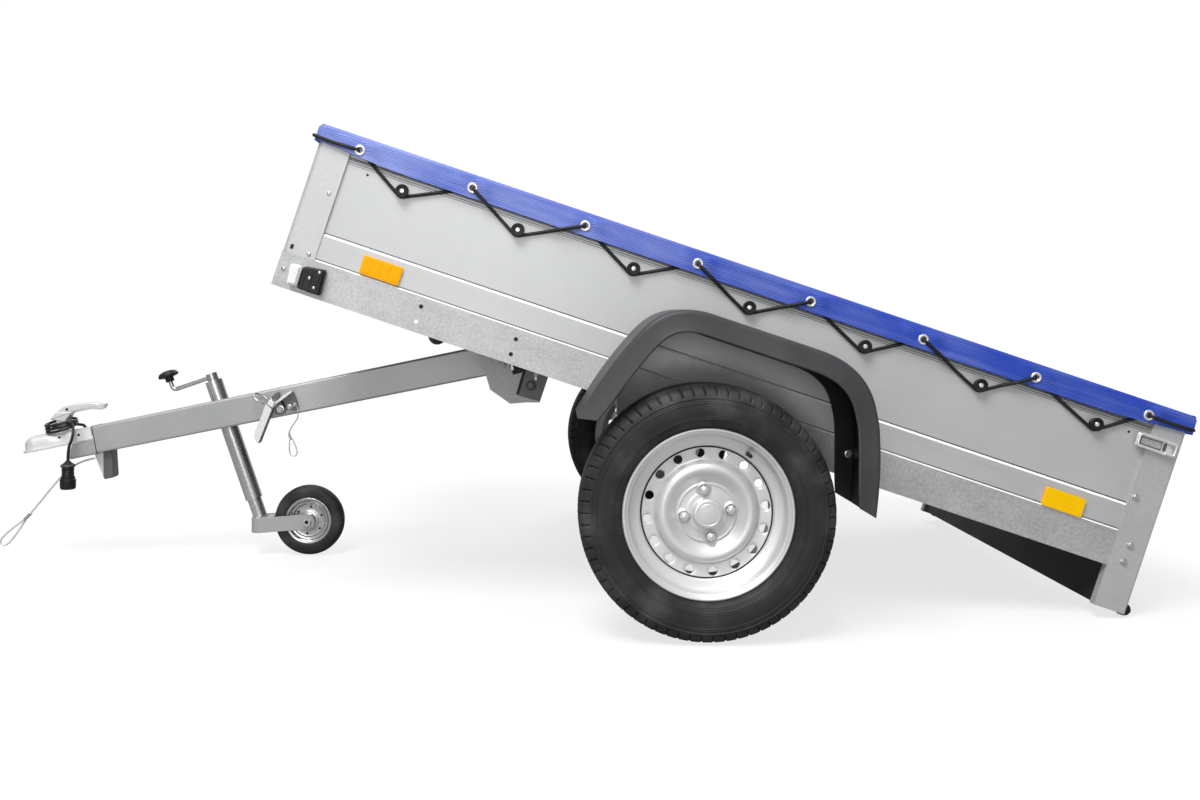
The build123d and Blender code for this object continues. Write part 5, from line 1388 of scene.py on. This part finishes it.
LOCK_PLATES = (
    ("lock_ear", painted_shade_steel, 8, 16, [(-32, 18), (-8, 31), (-5, 19), (-23, 0), (-32, 8)]),
    ("lock_body", painted_shade_steel, 0, 9, [(-28, -13), (1, 9), (12, 17), (31, 22), (36, -6), (34, -26), (21, -31),
                                     (7, -20), (-7, -31), (-19, -35), (-30, -25)]),
    ("lock_edge", pressed_zinc, 16, 22, [(-29, -5), (-33, 15), (-28, 19), (-25, 1), (4, 18), (28, 26),
                                         (32, 22), (10, 11), (-17, -1), (-30, -13)]),
    ("lock_bar", black_plastic, 9, 14, [(-8, 5), (-2, 5), (4, -16), (-2, -18)]),
)
LOCK_NUTS = ((-14, 9, -18, 9, 7, 10), (13, 9, -17, 6, 6, 25), (28, 8, -14, 4.5, 5, 40))
LOCK_LEVER = [(-44, 4), (-29, -13), (-84, -97), (-89, -94), (-92, -73)]


def tip_lock():
    """Lock on the drawbar's near side: painted-shade ears and body, a bright folded lever, hexagon nuts and a
    split ring.
    """
    face = -BAR_HALF - 1
    for name, finish, low, high, outline in LOCK_PLATES:
        piece = Piece(bar)
        piece.plate(rounded(outline, 2.5, 4, True), face - high, face - low, "y", 1, (LOCK_X, 0, 0))
        piece.make(name, finish, "drawbar", ("tip_lock",) if name == "lock_body" else ())
    lever = Piece(bar)
    lever.plate(rounded(LOCK_LEVER, 3, 4, True), face - 35, face - 31, "y", 1, (LOCK_X, 0, 0))
    lever.plate([(-40, 2), (-27, -10), (-20, 4), (-33, 14)], face - 32, face - 16, "y", 1, (LOCK_X, 0, 0))
    lever.make("lock_handle", pressed_zinc, "drawbar", ("tip_lock_lever",))
    # The lever's crease is a dark strip of painted shade.
    fold = Piece(bar)
    crease = [(-30, -14), (-26, -12), (-81, -97), (-85, -97)]
    fold.plate(crease, face - 34, face - 14, "y", 0.8, (LOCK_X, 0, 0))
    fold.make("lock_handle_fold", painted_shade_steel, "drawbar")
    small = Piece(bar)
    for x, out, z, size, height, turn in LOCK_NUTS:
        small.bolt((LOCK_X + x, face - out, z), "y", -1, size, height, turn)
    angle = np.linspace(0, 2 * np.pi, 49)[:, None]
    middle = np.array([LOCK_X - 56.5, face - 24, 22])
    loop = middle + np.cos(angle) * (16.3, 0, -16.4) + np.sin(angle) * (4, 19, 4)
    small.tube(loop, 2.2, (1, 0, 1), 10)
    small.make("lock_nuts", bright_zinc, "drawbar")


coupling()
foot()
tip_lock()


# Jockey wheel


STRAP_FRONT = -160
STRAP_END = 20.3
STRAP_HALF = 20.5


def jockey_fork():
    """Strap bent round the front of the leg: its plan line rises to the axle, and its ends are rounded."""
    piece = Piece(WorkFrame(jockey_axle, 0))
    out = JOCKEY_HALF + 11
    corners = [(STRAP_END, -out), (STRAP_FRONT, -out), (STRAP_FRONT, out), (STRAP_END, out)]
    plan = resampled(rounded(corners, (0, 22, 22, 0), 12), 181)
    ahead = heading(plan)
    across = np.stack([ahead[:, 1], -ahead[:, 0]], -1)
    x = plan[:, :1]
    middle = -11 * np.clip(-x / 136, 0, 1)
    half = STRAP_HALF * np.sqrt(np.clip(1 - (np.maximum(x, 0) / STRAP_HALF) ** 2, 0.01, 1))
    section = np.array([(-3, -1), (-2.2, -1.03), (2.2, -1.03), (3, -1), (3, 1), (2.2, 1.03), (-2.2, 1.03),
                        (-3, 1)])
    flat = plan[:, None] + across[:, None] * section[None, :, :1]
    piece.prism(np.concatenate([flat, (middle + half * section[:, 1])[..., None]], -1))
    roof = rounded(box(STRAP_FRONT + 2, -104, -out + 2, out - 2), (14, 3, 3, 14), 5, True)
    piece.plate(roof, 4, 9, "z", 1)
    piece.make("fork_strap", bar_steel, "jockey_fork", ("jockey_fork",))
    socket = Piece(jockey)
    drop = float(np.dot(jockey_axis, jockey_axle - swivel_place)) / MM
    socket.lathe([(12.2, drop + 21), (22, drop + 21), (22, drop + 53), (12.2, drop + 53)], axis="z", turns=40)
    socket.make("fork_socket", hinge_steel, "jockey_fork")


def jockey_wheel():
    """Tyre with shallow rings and cuts, and a pressed rim with stepped rings and small holes."""
    place = WorkFrame(jockey_axle, 0)
    angle = np.linspace(0, 2 * np.pi, 240, endpoint=False)[:, None]
    half = smooth([(61, 19), (66, 23), (74, JOCKEY_HALF), (84, 24), (92, 20.5), (97, 13.5),
                   (JOCKEY_RADIUS - 0.4, 5)], 30)
    section = np.concatenate([half, half[::-1] * (1, -1)])
    radius, out = section[None, :, 0], section[None, :, 1]
    crown = np.clip((radius - 92) / 5, 0, 1)
    sunk = 1.8 * crown * sum(bell(out - middle, 1.2) for middle in (-12, -4, 4, 12))
    rings = 0.6 * (bell(radius - 70, 1) + bell(radius - 86, 1)) * np.sign(out)
    tyre_piece = Piece(place)
    tyre_piece.grid(around(radius - sunk, out + rings, angle), loop_rows=True, loop_columns=True)
    tyre_piece.make("jockey_tread", road_rubber, "jockey_wheel", ("jockey_tyre",), 50)

    rim_piece = Piece(place)
    holes = Piece(place)
    profile = smooth([(20, 15), (26, 14), (28, 12), (36, 11.5), (46, 12.5), (48, 15.5), (54, 17), (56, 20),
                      (60, 22.5), (64.5, 23.5), (65.5, 21), (62, 18)], 60)
    boss = [(21, 12), (20, 24), (17, 27.5), (9, 28), (9, 20)]
    for side in SIDES:
        rim_piece.lathe(profile, side=side, turns=80)
        rim_piece.lathe(boss, side=side, turns=40)
        # Black discs stand for the rim's holes as painted shade.
        for turn in np.radians(np.arange(22, 382, 60)):
            holes.rivet(around(39, side * 11.2, turn), "y", side, 4.2, 0.9)
    rim_piece.make("jockey_rim_pressed", tube_zinc, "jockey_wheel", ("jockey_rim",))
    holes.make("jockey_rim_holes", black_plastic, "jockey_wheel")
    # Black discs at the axle ends stand for the bores as painted shade.
    bore = Piece(place)
    for side in SIDES:
        bore.rivet((0, side * AXLE_END, 0), "y", side, 5.5, 0.5)
    bore.make("jockey_axle_bores", black_plastic, "jockey_fork")


jockey_fork()
jockey_wheel()


# Floor, light and camera


FLOOR_REACH = 30
LAMPS = (
    ("key", (-1.1, -3.1, 4.9), (0, 0, 0.5), 2.4, 300),
    ("fill", (-0.5, -5.3, 1.3), (0, 0, 0.5), 2.0, 40),
    ("back", (0.5, 4.0, 3.6), (0, 0, 0.6), 3.0, 90),
)
CAMERA_PLACE = (0.0057, -3.1105, 0.705)
CAMERA_LENS = 33.21
CAMERA_SHIFT = (0.040, -0.0758)


def studio_floor():
    """A pale floor that keeps the shadow near the part and fades to white round it."""
    mesh = bpy.data.meshes.new("studio_floor")
    corners = box(-FLOOR_REACH, FLOOR_REACH, -FLOOR_REACH, FLOOR_REACH)
    mesh.from_pydata([(x, y, 0) for x, y in corners], [], [(0, 1, 2, 3)])
    ground = Finish("studio_floor", Roughness=0.9, Base_Color=(0.93, 0.93, 0.93, 1))
    glow = ground.node("ShaderNodeEmission", inputs={"Color": (1, 1, 1, 1), "Strength": 1.0})
    away = ground.node("ShaderNodeVectorMath", {"operation": "LENGTH"}, {0: ground.spot}, out="Value")
    seen = ground.node("ShaderNodeLightPath", out="Is Camera Ray")
    share = ground.between(away, 1.4, 3.4, 0.74, 1.0)
    pale = Shade(ground, ground.shader.outputs[0])
    white = ground.node("ShaderNodeMixShader", inputs={0: share, 1: pale, 2: glow})
    dull = ground.node("ShaderNodeBsdfDiffuse", inputs={"Color": (0.36, 0.36, 0.36, 1)})
    mixed = ground.node("ShaderNodeMixShader", inputs={0: seen, 1: dull, 2: white})
    ground.tree.links.new(mixed.socket, ground.tree.nodes["Material Output"].inputs["Surface"])
    mesh.materials.append(ground.material)
    floor_obj = linked("studio_floor", mesh)


def studio_light():
    """A white surround, dimmer towards both ends of the part for all but the camera, and three soft lamps."""
    world = bpy.data.worlds.new("studio")
    bpy.context.scene.world = world
    world.use_nodes = True
    nodes = Nodes(world.node_tree)
    camera_ray = nodes.node("ShaderNodeLightPath", out="Is Camera Ray")
    through_ray = nodes.node("ShaderNodeLightPath", out="Is Transmission Ray")
    seen = camera_ray.maths("MAXIMUM", camera_ray, through_ray)
    way = nodes.node("ShaderNodeTexCoord", out="Generated")
    along = nodes.node("ShaderNodeSeparateXYZ", inputs={0: way}, out="X")
    sideways = nodes.node("ShaderNodeMath", {"operation": "ABSOLUTE"}, {0: along})
    levels = {"Value": sideways, "From Min": 0.4, "From Max": 0.9, "To Min": 0.6, "To Max": 0.2}
    dim = nodes.node("ShaderNodeMapRange", inputs=levels)
    strength = nodes.node("ShaderNodeMapRange", inputs={"Value": seen, "To Min": dim, "To Max": 1.0})
    sky = nodes.tree.nodes["Background"]
    sky.inputs["Color"].default_value = (1, 1, 1, 1)
    nodes.tree.links.new(strength.socket, sky.inputs["Strength"])
    for name, place, aim, size, power in LAMPS:
        lamp = bpy.data.lights.new(name, "AREA")
        lamp.size = size
        lamp.energy = power
        lamp_obj = linked(name, lamp)
        lamp_obj.location = place
        lamp_obj.rotation_euler = (Vector(aim) - Vector(place)).to_track_quat("-Z", "Y").to_euler()


def studio_camera():
    """The photo's view: level and square on from the left, shifted to its framing."""
    camera = bpy.data.cameras.new("camera")
    camera.sensor_width = 36
    camera.sensor_fit = "HORIZONTAL"
    camera.lens = CAMERA_LENS
    camera.shift_x, camera.shift_y = CAMERA_SHIFT
    camera_obj = linked("camera", camera)
    camera_obj.location = CAMERA_PLACE
    camera_obj.rotation_euler = (math.pi / 2, 0, 0)
    bpy.context.scene.camera = camera_obj
    bpy.context.scene.view_settings.view_transform = "Standard"


studio_floor()
studio_light()
studio_camera()
